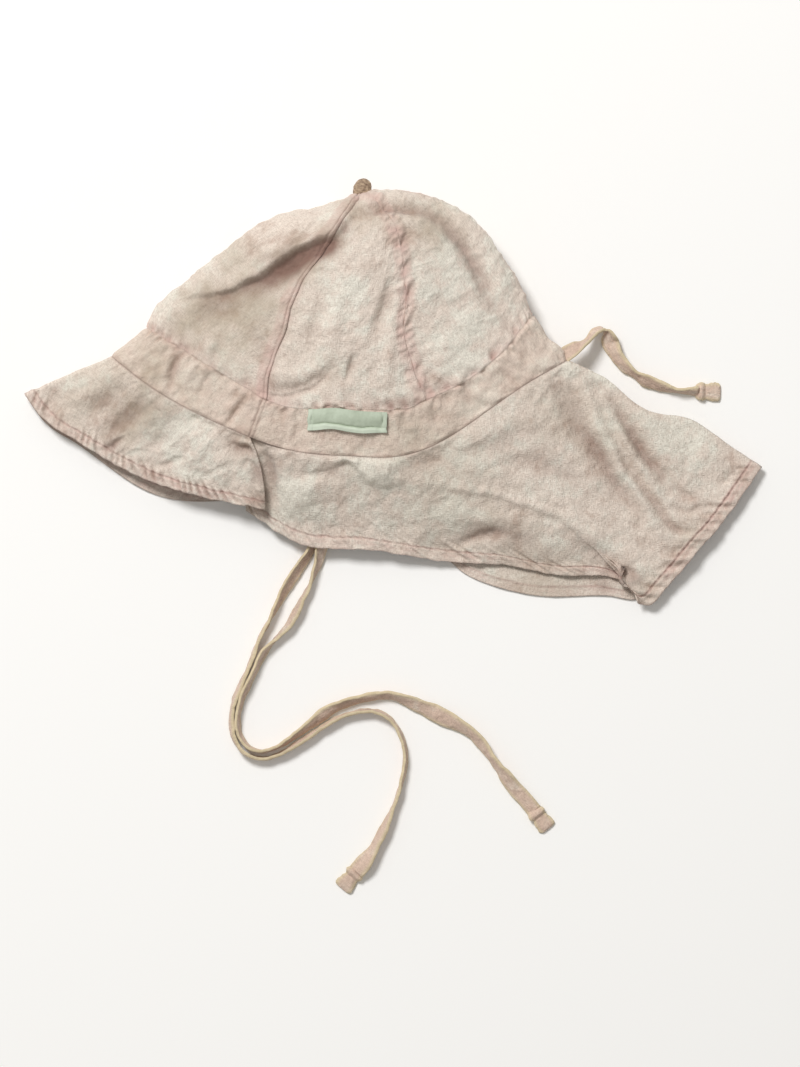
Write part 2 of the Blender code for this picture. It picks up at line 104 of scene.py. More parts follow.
def add_node(tree, kind, values=None, links=None, **settings):
    """Adds a node: its settings, its socket values by name or number, and the sockets it is fed from."""
    node = tree.nodes.new(kind)
    for key, value in settings.items():
        setattr(node, key, value)
    for key, value in (values or {}).items():
        node.inputs[key].default_value = value
    for key, socket in (links or {}).items():
        tree.links.new(socket, node.inputs[key])
    return node


def new_material(name, values):
    """A material, its node tree and its shader, which takes the values given."""
    made = bpy.data.materials.new(name)
    made.use_nodes = True
    shader = made.node_tree.nodes["Principled BSDF"]
    for key, value in values.items():
        shader.inputs[key].default_value = value
    return made, made.node_tree, shader


# %% Floor
# Painted board: matt and even, so nothing on it competes with the hat.
matt_paint = {"Base Color": linear("#fbfaf8"), "Roughness": 0.9, "Specular IOR Level": 0.1}
painted_board = new_material("painted_board", matt_paint)[0]

bpy.ops.object.select_all(action="DESELECT")
bpy.ops.mesh.primitive_plane_add(size=6, location=(0, 0, 0))
floor = bpy.context.object
floor.name = "floor"
floor.data.materials.append(painted_board)

# %% Lamp and sky
world = bpy.data.worlds.new("studio")
bpy.context.scene.world = world
world.use_nodes = True
sky = world.node_tree.nodes["Background"].inputs
sky["Color"].default_value = linear("#fffdf9")
sky["Strength"].default_value = 0.40

bpy.ops.object.light_add(type="AREA", location=(-0.95, 1.45, 2.4))
lamp = bpy.context.object
lamp.data.shape = "DISK"
lamp.data.size = 0.9
lamp.data.energy = 68.0
lamp.rotation_mode = "QUATERNION"
lamp.rotation_quaternion = (-lamp.location).to_track_quat("-Z", "Y")
bpy.context.scene.view_settings.view_transform = "Standard"
print("lamp at", [round(c, 2) for c in lamp.location])

# %% [markdown]
# ## Smooth curves and noise
#
# Small helpers serve every cloth piece: a smooth curve through the rows of a table, even points along a
# line, the signed distance from it, soft bells and steps, and a gradient noise. The noise is worked out
# on arrays, so a sheet with fifty thousand points takes a fraction of a second.

# %% Helpers
def spline(stations, values, at):
    """Smooth curve through one row of values a station, read at the places given."""
    stations = np.asarray(stations, float)
    values = np.asarray(values, float)
    slopes = np.gradient(values, stations, axis=0)
    at = np.clip(at, stations[0], stations[-1])
    left = np.clip(np.searchsorted(stations, at, side="right") - 1, 0, len(stations) - 2)
    step = stations[left + 1] - stations[left]
    u = (at - stations[left]) / step
    if values.ndim > 1:
        u = u[..., None]
        step = step[..., None]
    start = (1 + 2 * u) * (1 - u) ** 2 * values[left] + u * (1 - u) ** 2 * step * slopes[left]
    end = u * u * (3 - 2 * u) * values[left + 1] + u * u * (u - 1) * step * slopes[left + 1]
    return start + end


def profile(rows, at):
    """Smooth curve through rows of a place and a value."""
    rows = np.array(rows)
    return spline(rows[:, 0], rows[:, 1], at)


def lengths(points):
    """Distance along a line of points from its first one."""
    return np.append(0, np.cumsum(np.linalg.norm(np.diff(points, axis=0), axis=1)))


def apart(places, others):
    """Distances between places, in millimetres."""
    return np.linalg.norm(places - others, axis=-1) / MM


def in_mm(places):
    """The x and the y of places, in millimetres."""
    return places[..., 0] / MM, places[..., 1] / MM


def smooth_line(points, count):
    """The same number of points at even distances on a smooth curve through the points given."""
    points = np.asarray(points, float)
    along = lengths(points)
    fine = spline(along, points, np.linspace(0, along[-1], 12 * len(points)))
    along = lengths(fine)
    at = np.linspace(0, along[-1], count)
    return np.stack([np.interp(at, along, column) for column in fine.T], axis=1)


def from_line(line, places):
    """For each place on the floor: signed distance from a line, left of it positive, and share along it."""
    flat = places.reshape(-1, 2)
    best = np.full(len(flat), np.inf)
    signed = np.zeros(len(flat))
    share = np.zeros(len(flat))
    count = len(line) - 1
    for k in range(count):
        run = line[k + 1] - line[k]
        size = max(float(run @ run), 1e-18)
        t = np.clip((flat - line[k]) @ run / size, 0, 1)
        offset = flat - line[k] - t[:, None] * run
        far = np.hypot(offset[:, 0], offset[:, 1])
        closer = far < best
        side = np.sign(run[0] * offset[:, 1] - run[1] * offset[:, 0])
        best = np.where(closer, far, best)
        signed = np.where(closer, far * side, signed)
        share = np.where(closer, (k + t) / count, share)
    return signed.reshape(places.shape[:-1]), share.reshape(places.shape[:-1])


# Large uneven numbers, which turn each corner of the noise's grid its own way
SCATTER = (12.9898, 78.233, 37.719, 43758.5453)


def noise(x, y, seed=0):
    """Gradient noise between about -1 and 1 with a period of one unit."""
    x, y = np.asarray(x, float), np.asarray(y, float)
    corner_x, corner_y = np.floor(x), np.floor(y)
    total = 0
    for dx in (0, 1):
        for dy in (0, 1):
            i, j = corner_x + dx, corner_y + dy
            key = np.sin(i * SCATTER[0] + j * SCATTER[1] + seed * SCATTER[2])
            turn = 2 * np.pi * np.modf(np.abs(key) * SCATTER[3])[0]
            fx, fy = x - i, y - j
            near = (1 - fx * fx) ** 2 * (np.abs(fx) < 1) * (1 - fy * fy) ** 2 * (np.abs(fy) < 1)
            total = total + near * (fx * np.cos(turn) + fy * np.sin(turn))
    return 1.6 * total


def bell(t):
    """1 at zero, falling smoothly to nothing on both sides."""
    return np.exp(-np.square(t))


def smooth_step(low, high, t):
    """Smooth rise from 0 at the first limit to 1 at the second."""
    u = np.clip((t - low) / (high - low), 0, 1)
    return u * u * (3 - 2 * u)


print("noise range", round(float(np.ptp(noise(*np.mgrid[0:9:0.1, 0:9:0.1]))), 2))

# %% [markdown]
# ## The ties
#
# A tie on a real hat is a strip of the same linen, folded lengthwise and sewn, about 8 mm wide. It has
# almost no stiffness, so it rolls over and lies now on its face, now on its edge. Each one is modelled
# as a ribbon: a folded cross-section is carried along the route of the tie and rolled by a given
# angle at each stretch. A plain tube could never show that narrowing and widening.

# %% Routes of the ties
# Millimetres. They follow the solid model's routes, and the back tie starts a little earlier, inside the
# fold of the band. A place without a height lies on the floor.
NEAR_TIE = [
    (-32.7, -62.0, 7.2), (-33.4, -67.2, 6.6), (-34.1, -73.3, 5.2), (-35.2, -79.4, 3.4), (-37.4, -85.5, 2.0),
    (-39.7, -91.7, 1.4), (-43.0, -97.8), (-46.3, -104.3), (-51.0, -111.9), (-56.4, -117.5), (-61.3, -123.1),
    (-65.1, -130.7), (-69.1, -139.1), (-72.1, -146.2), (-73.6, -154.6), (-72.4, -162.6), (-68.4, -167.8),
    (-62.7, -169.7), (-56.2, -168.3), (-49.6, -164.5), (-43.0, -159.8), (-36.9, -155.4), (-29.8, -150.2),
    (-22.8, -147.1), (-15.7, -145.2), (-8.7, -143.8), (-1.6, -143.4), (5.4, -145.5), (12.5, -148.5),
    (21.9, -152.8), (31.3, -157.7), (36.0, -160.7), (40.7, -165.4), (45.8, -172.3), (51.5, -180.0),
    (57.1, -187.1), (62.3, -192.7), (66.5, -197.9),
]
FAR_TIE = [
    (-35.5, -61.5, 3.2), (-36.4, -67.2, 3.1), (-38.3, -72.9, 2.2), (-41.6, -78.5, 1.5), (-45.8, -84.6),
    (-49.6, -90.7), (-53.8, -98.2), (-58.5, -107.6), (-63.5, -117.0), (-67.0, -126.4), (-71.0, -135.8),
    (-74.9, -145.2), (-76.6, -154.6), (-75.0, -164.0), (-69.8, -170.8), (-62.7, -173.2), (-53.3, -171.0),
    (-43.9, -165.3), (-34.5, -159.2), (-25.1, -153.7), (-15.7, -150.9), (-6.3, -151.6), (0.7, -157.2),
    (4.5, -165.4), (5.4, -174.4), (3.7, -184.2), (0.7, -193.6), (-3.1, -202.6), (-6.8, -210.1),
    (-10.1, -216.2), (-13.9, -221.8), (-17.6, -226.3),
]
BACK_TIE = [
    (76.9, 14.6, 12.6), (80.6, 17.0, 13.0), (83.9, 19.1, 12.6), (87.2, 21.2, 11.6), (90.9, 23.3, 9.6),
    (93.3, 25.9, 7.6), (95.6, 28.4, 6.0), (98.5, 29.4, 4.6), (100.8, 27.3, 3.4), (102.2, 22.6, 2.2),
    (104.6, 17.4, 1.5), (108.8, 11.8), (114.4, 7.5), (120.6, 4.2), (127.1, 1.9), (134.2, 0.2), (139.4, 0.0),
    (143.6, -0.1),
]

# %% Rolls of the ties
# Millimetres from the root, width of the strip in millimetres, and roll in degrees
NEAR_ROLLS = [
    (0, 7.2, 8), (9, 7.2, 22), (14, 7.2, 40), (18, 7.0, 52), (23, 6.4, 70), (28, 5.6, 88), (33, 5.4, 100),
    (38, 5.6, 112), (44, 5.8, 122), (49, 5.8, 122), (55, 5.6, 110), (62, 5.4, 92), (67, 6.2, 72),
    (78, 6.4, 67), (86, 6.2, 68), (94, 5.6, 72), (104, 5.6, 74), (114, 5.6, 80), (122, 5.6, 88),
    (130, 5.6, 96), (137, 5.8, 106), (142, 6.0, 112), (150, 6.8, 126), (158, 7.2, 137), (165, 7.0, 131),
    (174, 6.9, 126), (180, 6.6, 122), (186, 6.4, 115), (193, 6.8, 120), (200, 7.2, 137), (208, 7.6, 150),
    (218, 8.0, 168), (228, 7.4, 140), (235, 7.2, 133), (242, 7.2, 132), (250, 6.8, 119), (256, 7.0, 121),
    (262, 7.4, 142), (269, 8.0, 168), (282, 7.8, 172),
]
FAR_ROLLS = [
    (0, 7.0, 10), (8, 6.8, 30), (13, 6.6, 56), (19, 6.6, 60), (26, 6.8, 49), (34, 6.8, 50), (42, 6.2, 67),
    (50, 5.6, 80), (63, 5.4, 92), (83, 5.6, 104), (97, 5.6, 106), (112, 5.6, 100), (124, 5.6, 90),
    (138, 5.4, 82), (160, 5.4, 80), (181, 5.2, 80), (190, 5.4, 77), (199, 5.4, 79), (210, 5.4, 76),
    (227, 5.4, 80), (238, 5.4, 92), (247, 6.0, 112), (254, 6.8, 124), (261, 7.0, 122), (268, 7.8, 146),
    (275, 8.4, 162),
]
BACK_ROLLS = [
    (0, 7.6, 8), (4, 7.6, 14), (11, 7.4, 34), (16, 6.2, 70), (20, 6.0, 64), (25, 6.2, 60), (29, 6.6, 92),
    (32, 7.4, 128), (36, 8.4, 166), (42, 7.6, 146), (49, 7.2, 137), (56, 6.4, 116), (62, 7.4, 138),
    (69, 7.0, 126), (77, 6.0, 102), (83, 6.4, 114), (87, 7.2, 128),
]

# Millimetres
TIE_THICKNESS = 2.1     # of the folded strip
TIE_STEP = 0.9          # between two sections
TIE_LEVEL = 1.3         # middle of a tie that lies on the floor
TIE_GAP = 0.25          # under a tie
LOWEST = 0.1            # no point of a tie or a knot lies lower

# %% A ribbon carried along a route
# Across the strip, from -1 at one edge to 1 at the other. The fold and the sewn edge are thicker than
# the middle, and the strip is a little hollow between them.
SECTION = 13


def section_shape(width, curl):
    """Offsets across and through the strip of a closed section, in millimetres."""
    across = np.sin(np.linspace(-np.pi / 2, np.pi / 2, SECTION))
    half = TIE_THICKNESS / 2 * (0.55 + 0.45 * across ** 4) * np.sqrt(np.clip(1 - across ** 10, 0.02, 1))
    bend = curl * (across ** 2 - 0.4)
    upper = np.stack([across * width / 2, bend + half], axis=1)
    lower = np.stack([across * width / 2, bend - half], axis=1)[::-1][1:-1]
    return np.concatenate([upper, lower])


def closed_mesh(name, points, faces, uvs, values):
    """Object from points and faces, with a place on the cloth map and some named values for each point."""
    mesh = bpy.data.meshes.new(name)
    mesh.from_pydata(points.tolist(), [], faces)
    layer = mesh.uv_layers.new(name="cloth")
    corner = np.empty(len(mesh.loops), np.int32)
    mesh.loops.foreach_get("vertex_index", corner)
    layer.uv.foreach_set("vector", np.asarray(uvs, np.float32)[corner].ravel())
    for key, row in values.items():
        attribute = mesh.attributes.new(key, "FLOAT", "POINT")
        attribute.data.foreach_set("value", np.asarray(row, np.float32).ravel())
    mesh.shade_smooth()
    made = bpy.data.objects.new(name, mesh)
    bpy.context.scene.collection.objects.link(made)
    return made


def lofted(name, rings, uvs, edge):
    """Closed piece through rings of points in millimetres, capped at both ends."""
    around, count = len(rings[0]), len(rings)
    faces = []
    for k in range(count - 1):
        here, after = k * around, (k + 1) * around
        for i in range(around):
            j = (i + 1) % around
            faces.append((here + i, here + j, after + j, after + i))
    faces.append(tuple(reversed(range(around))))
    faces.append(tuple(range((count - 1) * around, count * around)))
    points, uvs, edge = (np.concatenate(rows) for rows in (rings, uvs, edge))
    return closed_mesh(name, points * MM, faces, uvs, {"edge": edge})


def ribbon(name, route, rolls, seed):
    """A tie as a mesh, and the middle line that it follows."""
    route = np.array([(*place, TIE_LEVEL)[:3] for place in route])
    rolls = np.array(rolls)
    count = round(lengths(route)[-1] / TIE_STEP)
    line = smooth_line(route, count)
    along = lengths(line)
    width = spline(rolls[:, 0], rolls[:, 1], along) * (1 + 0.09 * noise(along / 7, 0.5, seed))
    roll = np.radians(spline(rolls[:, 0], rolls[:, 2], along) + 7 * noise(along / 12, 0.3, seed + 1))
    height = np.abs(np.sin(roll)) * width / 2 + np.abs(np.cos(roll)) * TIE_THICKNESS / 2 + TIE_GAP
    line[:, 2] = np.maximum(line[:, 2], height)
    ahead = np.gradient(line, axis=0)
    ahead /= np.linalg.norm(ahead, axis=1, keepdims=True)
    level = np.cross(ahead, (0, 0, 1))
    level /= np.linalg.norm(level, axis=1, keepdims=True)
    rise = np.cross(level, ahead)
    rings, uvs, edge = [], [], []
    for k in range(count):
        shape = section_shape(width[k], 0.55 + 0.35 * float(noise(along[k] / 11, 0.7, seed + 2)))
        c, s = math.cos(roll[k]), math.sin(roll[k])
        crumple = noise(shape[:, 0] / 2.6 + 9 * seed, np.full(len(shape), along[k] / 4.5), seed + 3)
        crumple = crumple + 0.5 * noise(shape[:, 0] / 1.3, np.full(len(shape), along[k] / 2.0), seed + 4)
        shape[:, 1] += 0.28 * crumple
        wide = shape[:, 0] * c - shape[:, 1] * s
        high = shape[:, 0] * s + shape[:, 1] * c
        ring = line[k] + wide[:, None] * level[k] + high[:, None] * rise[k]
        ring[:, 2] = np.maximum(ring[:, 2], LOWEST)
        rings.append(ring)
        uvs.append(np.stack([shape[:, 0] + 20 * seed, np.full(len(shape), along[k])], axis=1))
        edge.append(np.abs(shape[:, 0]) / (width[k] / 2))
    return lofted(name, rings, uvs, edge), line * MM


near_tie, near_line = ribbon("near_tie_strip", NEAR_TIE, NEAR_ROLLS, 1)
far_tie, far_line = ribbon("far_tie_strip", FAR_TIE, FAR_ROLLS, 2)
back_tie, back_line = ribbon("back_tie_strip", BACK_TIE, BACK_ROLLS, 3)
for line in (near_line, far_line, back_line):
    print("tie length", round(float(lengths(line)[-1]), 3), "m")

# %% [markdown]
# ## Knotted ends
#
# Each tie ends in a small flat knot: the strip is wrapped once round itself, and a short tab of cloth
# sticks out beyond the wrap. The knot is lofted from a short table of sections, straight on from the
# last stretch of its tie.

# %% Knots
# Along from the tie's end, width and thickness, in millimetres
KNOT_ROWS = [
    (-1.2, 6.0, 2.0), (-0.2, 7.4, 2.8), (0.5, 8.4, 3.8), (1.4, 8.9, 4.3), (2.3, 8.6, 4.0), (3.0, 7.4, 3.0),
    (3.5, 7.0, 2.4), (4.4, 7.5, 2.5), (6.0, 8.3, 2.4), (8.0, 8.8, 2.3), (9.4, 8.6, 2.2), (10.2, 7.6, 1.8),
    (10.6, 5.6, 1.0),
]
KNOT_SIDES = 40
KNOT_RINGS = 46


def knot(name, line, seed):
    """Knotted end, straight on past the last point of a line."""
    rows = np.array(KNOT_ROWS)
    run = line[-1, :2] - line[-4, :2]
    heading = math.atan2(run[1], run[0])
    ahead = np.array([math.cos(heading), math.sin(heading)])
    aside = np.array([-math.sin(heading), math.cos(heading)])
    at = spline(np.linspace(0, 1, len(rows)), rows, np.linspace(0, 1, KNOT_RINGS))
    around = np.linspace(0, 2 * np.pi, KNOT_SIDES, endpoint=False)
    flat = np.sign(np.cos(around)) * np.abs(np.cos(around)) ** 0.75
    rings, uvs, edge = [], [], []
    for along, width, thickness in at:
        dent = 1 + 0.10 * noise(along / 2.2, around, seed) + 0.05 * noise(along / 0.9, around * 2, seed + 1)
        sideways = flat * width / 2 * dent
        up = np.sin(around) * thickness / 2 * dent + thickness / 2
        plan = line[-1, :2] / MM + along * ahead + sideways[:, None] * aside
        rings.append(np.column_stack([plan, np.maximum(up, LOWEST)]))
        uvs.append(np.column_stack([sideways + 7 * seed, np.full(KNOT_SIDES, along)]))
        edge.append(np.abs(flat))
    return lofted(name, rings, uvs, edge)


near_knot = knot("near_tie_knot", near_line, 4)
far_knot = knot("far_tie_knot", far_line, 5)
back_knot = knot("back_tie_knot", back_line, 6)
print("knots", [len(piece.data.vertices) for piece in (near_knot, far_knot, back_knot)], "points each")

# %% [markdown]
# ## The shape of the lying cloth
#
# Every cloth piece is a curved sheet. An angle runs round the head, 0 at the centre front, 90 on the
# side that faces up, 180 at the centre back and negative underneath, and a share runs down the piece.
# The rows below are the model's own, so the cloth lies in the space that its solid holds.

# %% Sizes in metres
CROWN_WIDTH = 0.180
CROWN_DROP = 0.102      # from the stem down to the band
BAND_WIDTH = 0.020
BRIM_WIDTH = 0.045
FLAP_LENGTH = 0.105
LOFT = 0.036            # height of the lying crown
CAD_CLOTH = 0.0016      # wall of the solids

# %% Rows of the crown, the band, the brim and the flap
# Shares of the crown's width and drop: the two folds, and the two seams between them
FRONT_FOLD = [(0, 0), (-0.089, 0.069), (-0.243, 0.143), (-0.368, 0.290), (-0.462, 0.419), (-0.548, 0.562)]
FRONT_SEAM = [(0, 0), (-0.037, 0.115), (-0.102, 0.267), (-0.170, 0.465), (-0.209, 0.668), (-0.243, 0.866)]
BACK_SEAM = [(0, 0), (0.052, 0.078), (0.097, 0.253), (0.112, 0.461), (0.112, 0.700), (0.136, 0.853)]
BACK_FOLD = [(0, 0), (0.097, 0.000), (0.183, 0.032), (0.277, 0.124), (0.355, 0.290), (0.415, 0.456)]

# Angle, then shares of the crown's width and drop
CROWN_SEAM = [
    (0, -0.561, 0.631), (30, -0.478, 0.719), (60, -0.251, 0.959), (90, -0.047, 1.000),
    (120, 0.164, 0.968), (150, 0.373, 0.723), (180, 0.439, 0.571),
]

# Angle, then shares of the band's width from the seam to the opening
BAND_EDGE = [
    (0, -0.85, 0.66), (30, -0.78, 0.85), (60, -0.40, 0.87), (90, 0.00, 1.10),
    (120, 0.235, 0.99), (150, 0.63, 0.73), (180, 0.82, 1.06),
]

# Angle, then shares of the length from the opening to the edge, of the upper layer and of the lower one,
# and the height of the edge as a share of the loft
BRIM_EDGE = [
    (0, -0.92, 0.39, -0.92, 0.39, 0.16), (15, -0.88, 0.50, -0.87, 0.53, 0.20),
    (30, -0.73, 0.60, -0.71, 0.64, 0.24), (45, -0.42, 0.74, -0.42, 0.86, 0.30),
    (60, 0.157, 0.76, -0.06, 0.66, 0.36),
]
FLAP_HEM = [
    (60, -0.018, 0.330, 0.050, 0.290, 0.21), (75, 0.018, 0.417, 0.000, 0.360, 0.23),
    (90, 0.112, 0.422, 0.121, 0.386, 0.24), (105, 0.291, 0.471, 0.238, 0.440, 0.24),
    (112, 0.426, 0.498, 0.283, 0.556, 0.24), (120, 0.556, 0.587, 0.466, 0.680, 0.24),
    (127, 0.713, 0.672, 0.646, 0.745, 0.23), (133, 0.748, 0.857, 0.709, 0.825, 0.20),
    (137, 0.760, 0.825, 0.735, 0.800, 0.20), (150, 0.754, 0.750, 0.740, 0.742, 0.23),
    (165, 0.785, 0.641, 0.780, 0.635, 0.20), (180, 0.879, 0.475, 0.879, 0.475, 0.14),
]

# Share down the piece, then the flap's back edge as a share of its length, and the crown's ridge as a
# share of the loft
BACK_RIPPLE = [(0, 0), (0.2, 0.012), (0.38, -0.030), (0.65, 0.040), (0.85, 0.015), (1, 0)]
CREST = [(0, 0.95), (0.3, 1.0), (0.55, 1.0), (0.8, 0.92), (1, 0.82)]

# Shares of the loft: the two folds at the stem, at the seam and at the opening, and three more heights
STEM_LEVEL = 0.47
SEAM_LEVEL = 0.40
OPENING_LEVEL = 0.36
OPENING_TOP = 0.74
BRIM_TIP = 0.15
FLAP_TIP = 0.13

# How the cloth bends
SHOULDER = 0.45         # share of the crown where it has reached its height
TOP_ROUND = 2.5         # how soon the cloth reaches its height, or lies flat underneath
UPPER_ROUND = 0.9       # how full the side that faces up is between its two folds
FLAT_FROM = 0.7         # sine of the angle underneath from which the cloth lies flat
TOP_TURN = 0.35         # how much closer to the stem the cloth stays halfway round
FALL = 1.7              # how the brim and the flap drop to their edge
TUCK = 12               # degrees over which the flap slips under the brim
PANEL = 60              # degrees of a crown panel

# The crown's top in the row frame, from the stem that stands on it
stem_low, stem_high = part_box("top_stem")
top_x = (stem_low[0] + stem_high[0]) / 2
top_y = stem_low[1] - CAD_CLOTH / 2 - 0.3 * MM
print("crown's top at", round(top_x, 4), round(top_y, 4))


# %% Surfaces
def across_head(angle):
    """Way across the head: -1 at the centre front, 1 at the centre back."""
    return -np.cos(np.radians(angle))


def facing(angle):
    """1 at the middle of the side that faces up, -1 at the middle underneath."""
    return np.sin(np.radians(angle))


def row_at(rows, angle, columns):
    """Columns of a table of angles, read smoothly at other angles."""
    rows = np.asarray(rows, float)
    return spline(across_head(rows[:, 0]), rows[:, columns], across_head(angle))


def seam_line(angle):
    """Plan of the seam between the crown and the band, from the crown's top."""
    return row_at(CROWN_SEAM, angle, [1, 2]) * (CROWN_WIDTH, -CROWN_DROP)


def opening_line(angle):
    """Plan of the seam between the band and what hangs from it."""
    return seam_line(angle) + row_at(BAND_EDGE, angle, [1, 2]) * (BAND_WIDTH, -BAND_WIDTH)


def meridian(points, end_angle, share):
    """Plan of a line down the crown, which ends on its seam."""
    line = np.vstack([np.array(points) * (CROWN_WIDTH, -CROWN_DROP), seam_line(np.array(end_angle))])
    along = lengths(line)
    return spline(along / along[-1], line, share)


def lying(angle, level, top, bottom):
    """Height of a folded ring of cloth, from its two folds up to the top or down to the bottom."""
    rise = facing(angle)
    upper = level + (top - level) * np.abs(rise) ** UPPER_ROUND
    settled = 1 - (1 - np.clip(-rise / FLAT_FROM, 0, 1)) ** TOP_ROUND
    return np.where(rise > 0, upper, level - (level - bottom) * settled)


def placed(plan, height):
    """Places in the row frame, from a plan and a height over the floor."""
    place = np.concatenate([plan, np.asarray(height)[..., None]], axis=-1)
    return place + (top_x, top_y, 0)


def crown_plan(angle, share):
    """Plan of the crown, blended across the head from its four drawn lines."""
    down = share ** (1 + TOP_TURN * np.abs(facing(angle)))
    way = across_head(angle)
    ends = ((FRONT_FOLD, 0), (FRONT_SEAM, PANEL), (BACK_SEAM, 2 * PANEL), (BACK_FOLD, 3 * PANEL))
    knots = [across_head(end) for _, end in ends]
    plan = 0
    at_seam = 0
    for (points, end), own in zip(ends, knots):
        weight = 1
        for other in knots:
            if other != own:
                weight = weight * (way - other) / (own - other)
        plan = plan + weight[..., None] * meridian(points, end, down)
        at_seam = at_seam + weight[..., None] * seam_line(np.array(end))
    return plan + (share ** 3)[..., None] * (seam_line(angle) - at_seam)


def seam_waver(angle, share):
    """Degrees by which a sewn seam wavers to one side or the other of a straight one."""
    seam = PANEL * np.round(angle / PANEL)
    waver = 1.3 * noise(share * 9, np.abs(seam) / 37, 97)
    return waver * bell((angle - seam) / 9) * smooth_step(0.03, 0.2, share)


def crown(angle, share):
    angle = angle + seam_waver(angle, share)
    turned = 1 - (1 - np.clip(share / SHOULDER, 0, 1)) ** TOP_ROUND
    level = LOFT * (STEM_LEVEL + (SEAM_LEVEL - STEM_LEVEL) * share)
    crest = LOFT * profile(CREST, share)
    height = lying(angle, level, level + (crest - level) * turned, level - (level - CAD_CLOTH / 2) * turned)
    plan = crown_plan(angle, share)
    ragged = 0.55 * MM * noise(angle / 5.2, 0.5, 98) * bell((1 - share) / 0.06)
    plan[..., 1] += ragged * (facing(angle) > 0)
    return placed(plan, height)


def opening_height(angle):
    """Height of the seam between the band and what hangs from it."""
    return lying(angle, LOFT * OPENING_LEVEL, LOFT * OPENING_TOP, CAD_CLOTH / 2)


def band(angle, share):
    start = crown(angle, np.ones_like(share)) - (top_x, top_y, 0)
    plan = start[..., :2] + share[..., None] * (opening_line(angle) - start[..., :2])
    bump = bell((share - 0.76) / 0.12) - 0.8 * bell((share - 0.48) / 0.16)
    plan[..., 0] += 1.5 * MM * bump * np.clip(across_head(angle), 0, 1) ** 14
    return placed(plan, start[..., 2] + share * (opening_height(angle) - start[..., 2]))


def edge_plan(rows, length, angle, share):
    """Plan of a piece between the opening and its free edge."""
    upper = (facing(angle) > 0)[..., None]
    out = np.where(upper, row_at(rows, angle, [1, 2]), row_at(rows, angle, [3, 4]))
    return opening_line(angle) + share[..., None] * out * (length, -length)


def edge_height(rows, tip_level, angle, share):
    """Height of a piece between the opening and its free edge."""
    edge = lying(angle, LOFT * tip_level, LOFT * row_at(rows, angle, 5), CAD_CLOTH / 2)
    start = opening_height(angle)
    return start + (1 - (1 - share) ** FALL * (1 + (FALL - 1) * share)) * (edge - start)


def brim(angle, share):
    plan = edge_plan(BRIM_EDGE, BRIM_WIDTH, angle, share)
    plan[..., 0] += 2.6 * MM * np.sin(np.pi * share) ** 0.8 * smooth_step(PANEL - 14, PANEL, angle)
    return placed(plan, edge_height(BRIM_EDGE, BRIM_TIP, angle, share))


def flap(angle, share):
    plan = edge_plan(FLAP_HEM, FLAP_LENGTH, angle, share)
    plan[..., 1] += FLAP_LENGTH * profile(BACK_RIPPLE, share) * np.clip(across_head(angle), 0, 1) ** 10
    height = edge_height(FLAP_HEM, FLAP_TIP, angle, share)
    tucked = np.where(angle > 0, np.clip(1 - (angle - PANEL) / TUCK, 0, 1), 0)
    return placed(plan, height - tucked * (CAD_CLOTH + 0.5 * MM))


print("crown seam at the front", np.round(crown(np.array(0.0), np.array(1.0)), 4))

# %% [markdown]
# ## Folds
#
# A fold is drawn as a line over the picture, with a height and a reach on each side of it. The height
# fades at both ends. A lean makes one flank steeper than the other, which is what a fold of soft cloth
# does when it starts to roll over. Where it does roll over, a step takes its place: the full height on
# the left of the line, and a sharp drop to its right. All of them only touch the side that faces up.

# %% Folds
# Height and reach in millimetres, a lean where there is one, then the line in picture units
CROWN_FOLDS = [
    (-3.6, 3.8, [(258, 290), (276, 281), (292, 270), (306, 261), (320, 254), (334, 247), (344, 236)]),
    (2.2, 8.0, [(200, 268), (222, 252), (250, 240), (280, 230), (310, 220), (335, 206)]),
    (-1.4, 2.4, [(222, 280), (240, 270), (252, 262), (264, 250)]),
    (-1.5, 2.4, [(284, 254), (298, 246), (310, 234), (318, 222)]),
    (1.3, 2.8, [(236, 272), (262, 260), (290, 247), (312, 237)]),
    (-3.6, 4.4, -0.6, [(424, 206), (444, 218), (459, 236), (474, 256), (484, 278), (492, 298), (504, 312)]),
    (2.4, 5.0, [(446, 204), (466, 222), (484, 246), (498, 272), (512, 302)]),
    (-3.0, 3.0, -0.2, [(356, 210), (372, 211), (392, 209), (412, 209), (430, 214), (442, 220)]),
    (1.6, 3.0, [(364, 200), (384, 198), (406, 199), (430, 205)]),
    (-2.4, 3.0, 0.6, [(262, 390), (280, 394), (300, 391), (318, 382), (340, 364)]),
    (1.3, 4.2, [(270, 378), (298, 376), (322, 364)]),
    (-1.6, 2.4, 0.3, [(356, 354), (351, 366), (345, 382)]),
    (-2.4, 3.4, 0.5, [(392, 278), (386, 297), (382, 314), (373, 334)]),
    (1.5, 3.6, [(399, 292), (394, 320), (390, 350), (386, 384)]),
    (-1.0, 2.6, [(212, 374), (218, 352), (223, 336)]),
    (1.1, 2.6, [(205, 366), (210, 350), (216, 335)]),
    (-1.4, 2.0, [(402, 306), (409, 298), (414, 290)]),
    (-1.5, 2.2, [(400, 274), (410, 266), (416, 258)]),
    (-1.1, 1.8, [(396, 250), (406, 243), (412, 236)]),
    (-1.2, 3.6, [(190, 324), (215, 314), (245, 312)]),
    (1.2, 4.0, [(178, 296), (168, 314), (160, 330)]),
    (-1.2, 3.0, [(310, 352), (316, 330), (320, 303)]),
    (0.9, 3.0, [(330, 350), (336, 320), (338, 290)]),
    (-1.0, 3.6, [(428, 300), (455, 307), (484, 300)]),
    (0.9, 4.0, [(425, 330), (440, 350), (452, 374)]),
    (-1.0, 3.0, [(414, 350), (424, 370), (438, 386)]),
    (-1.2, 2.6, [(500, 316), (510, 330), (522, 334)]),
    (-1.1, 2.4, [(252, 330), (262, 348), (266, 372)]),
]
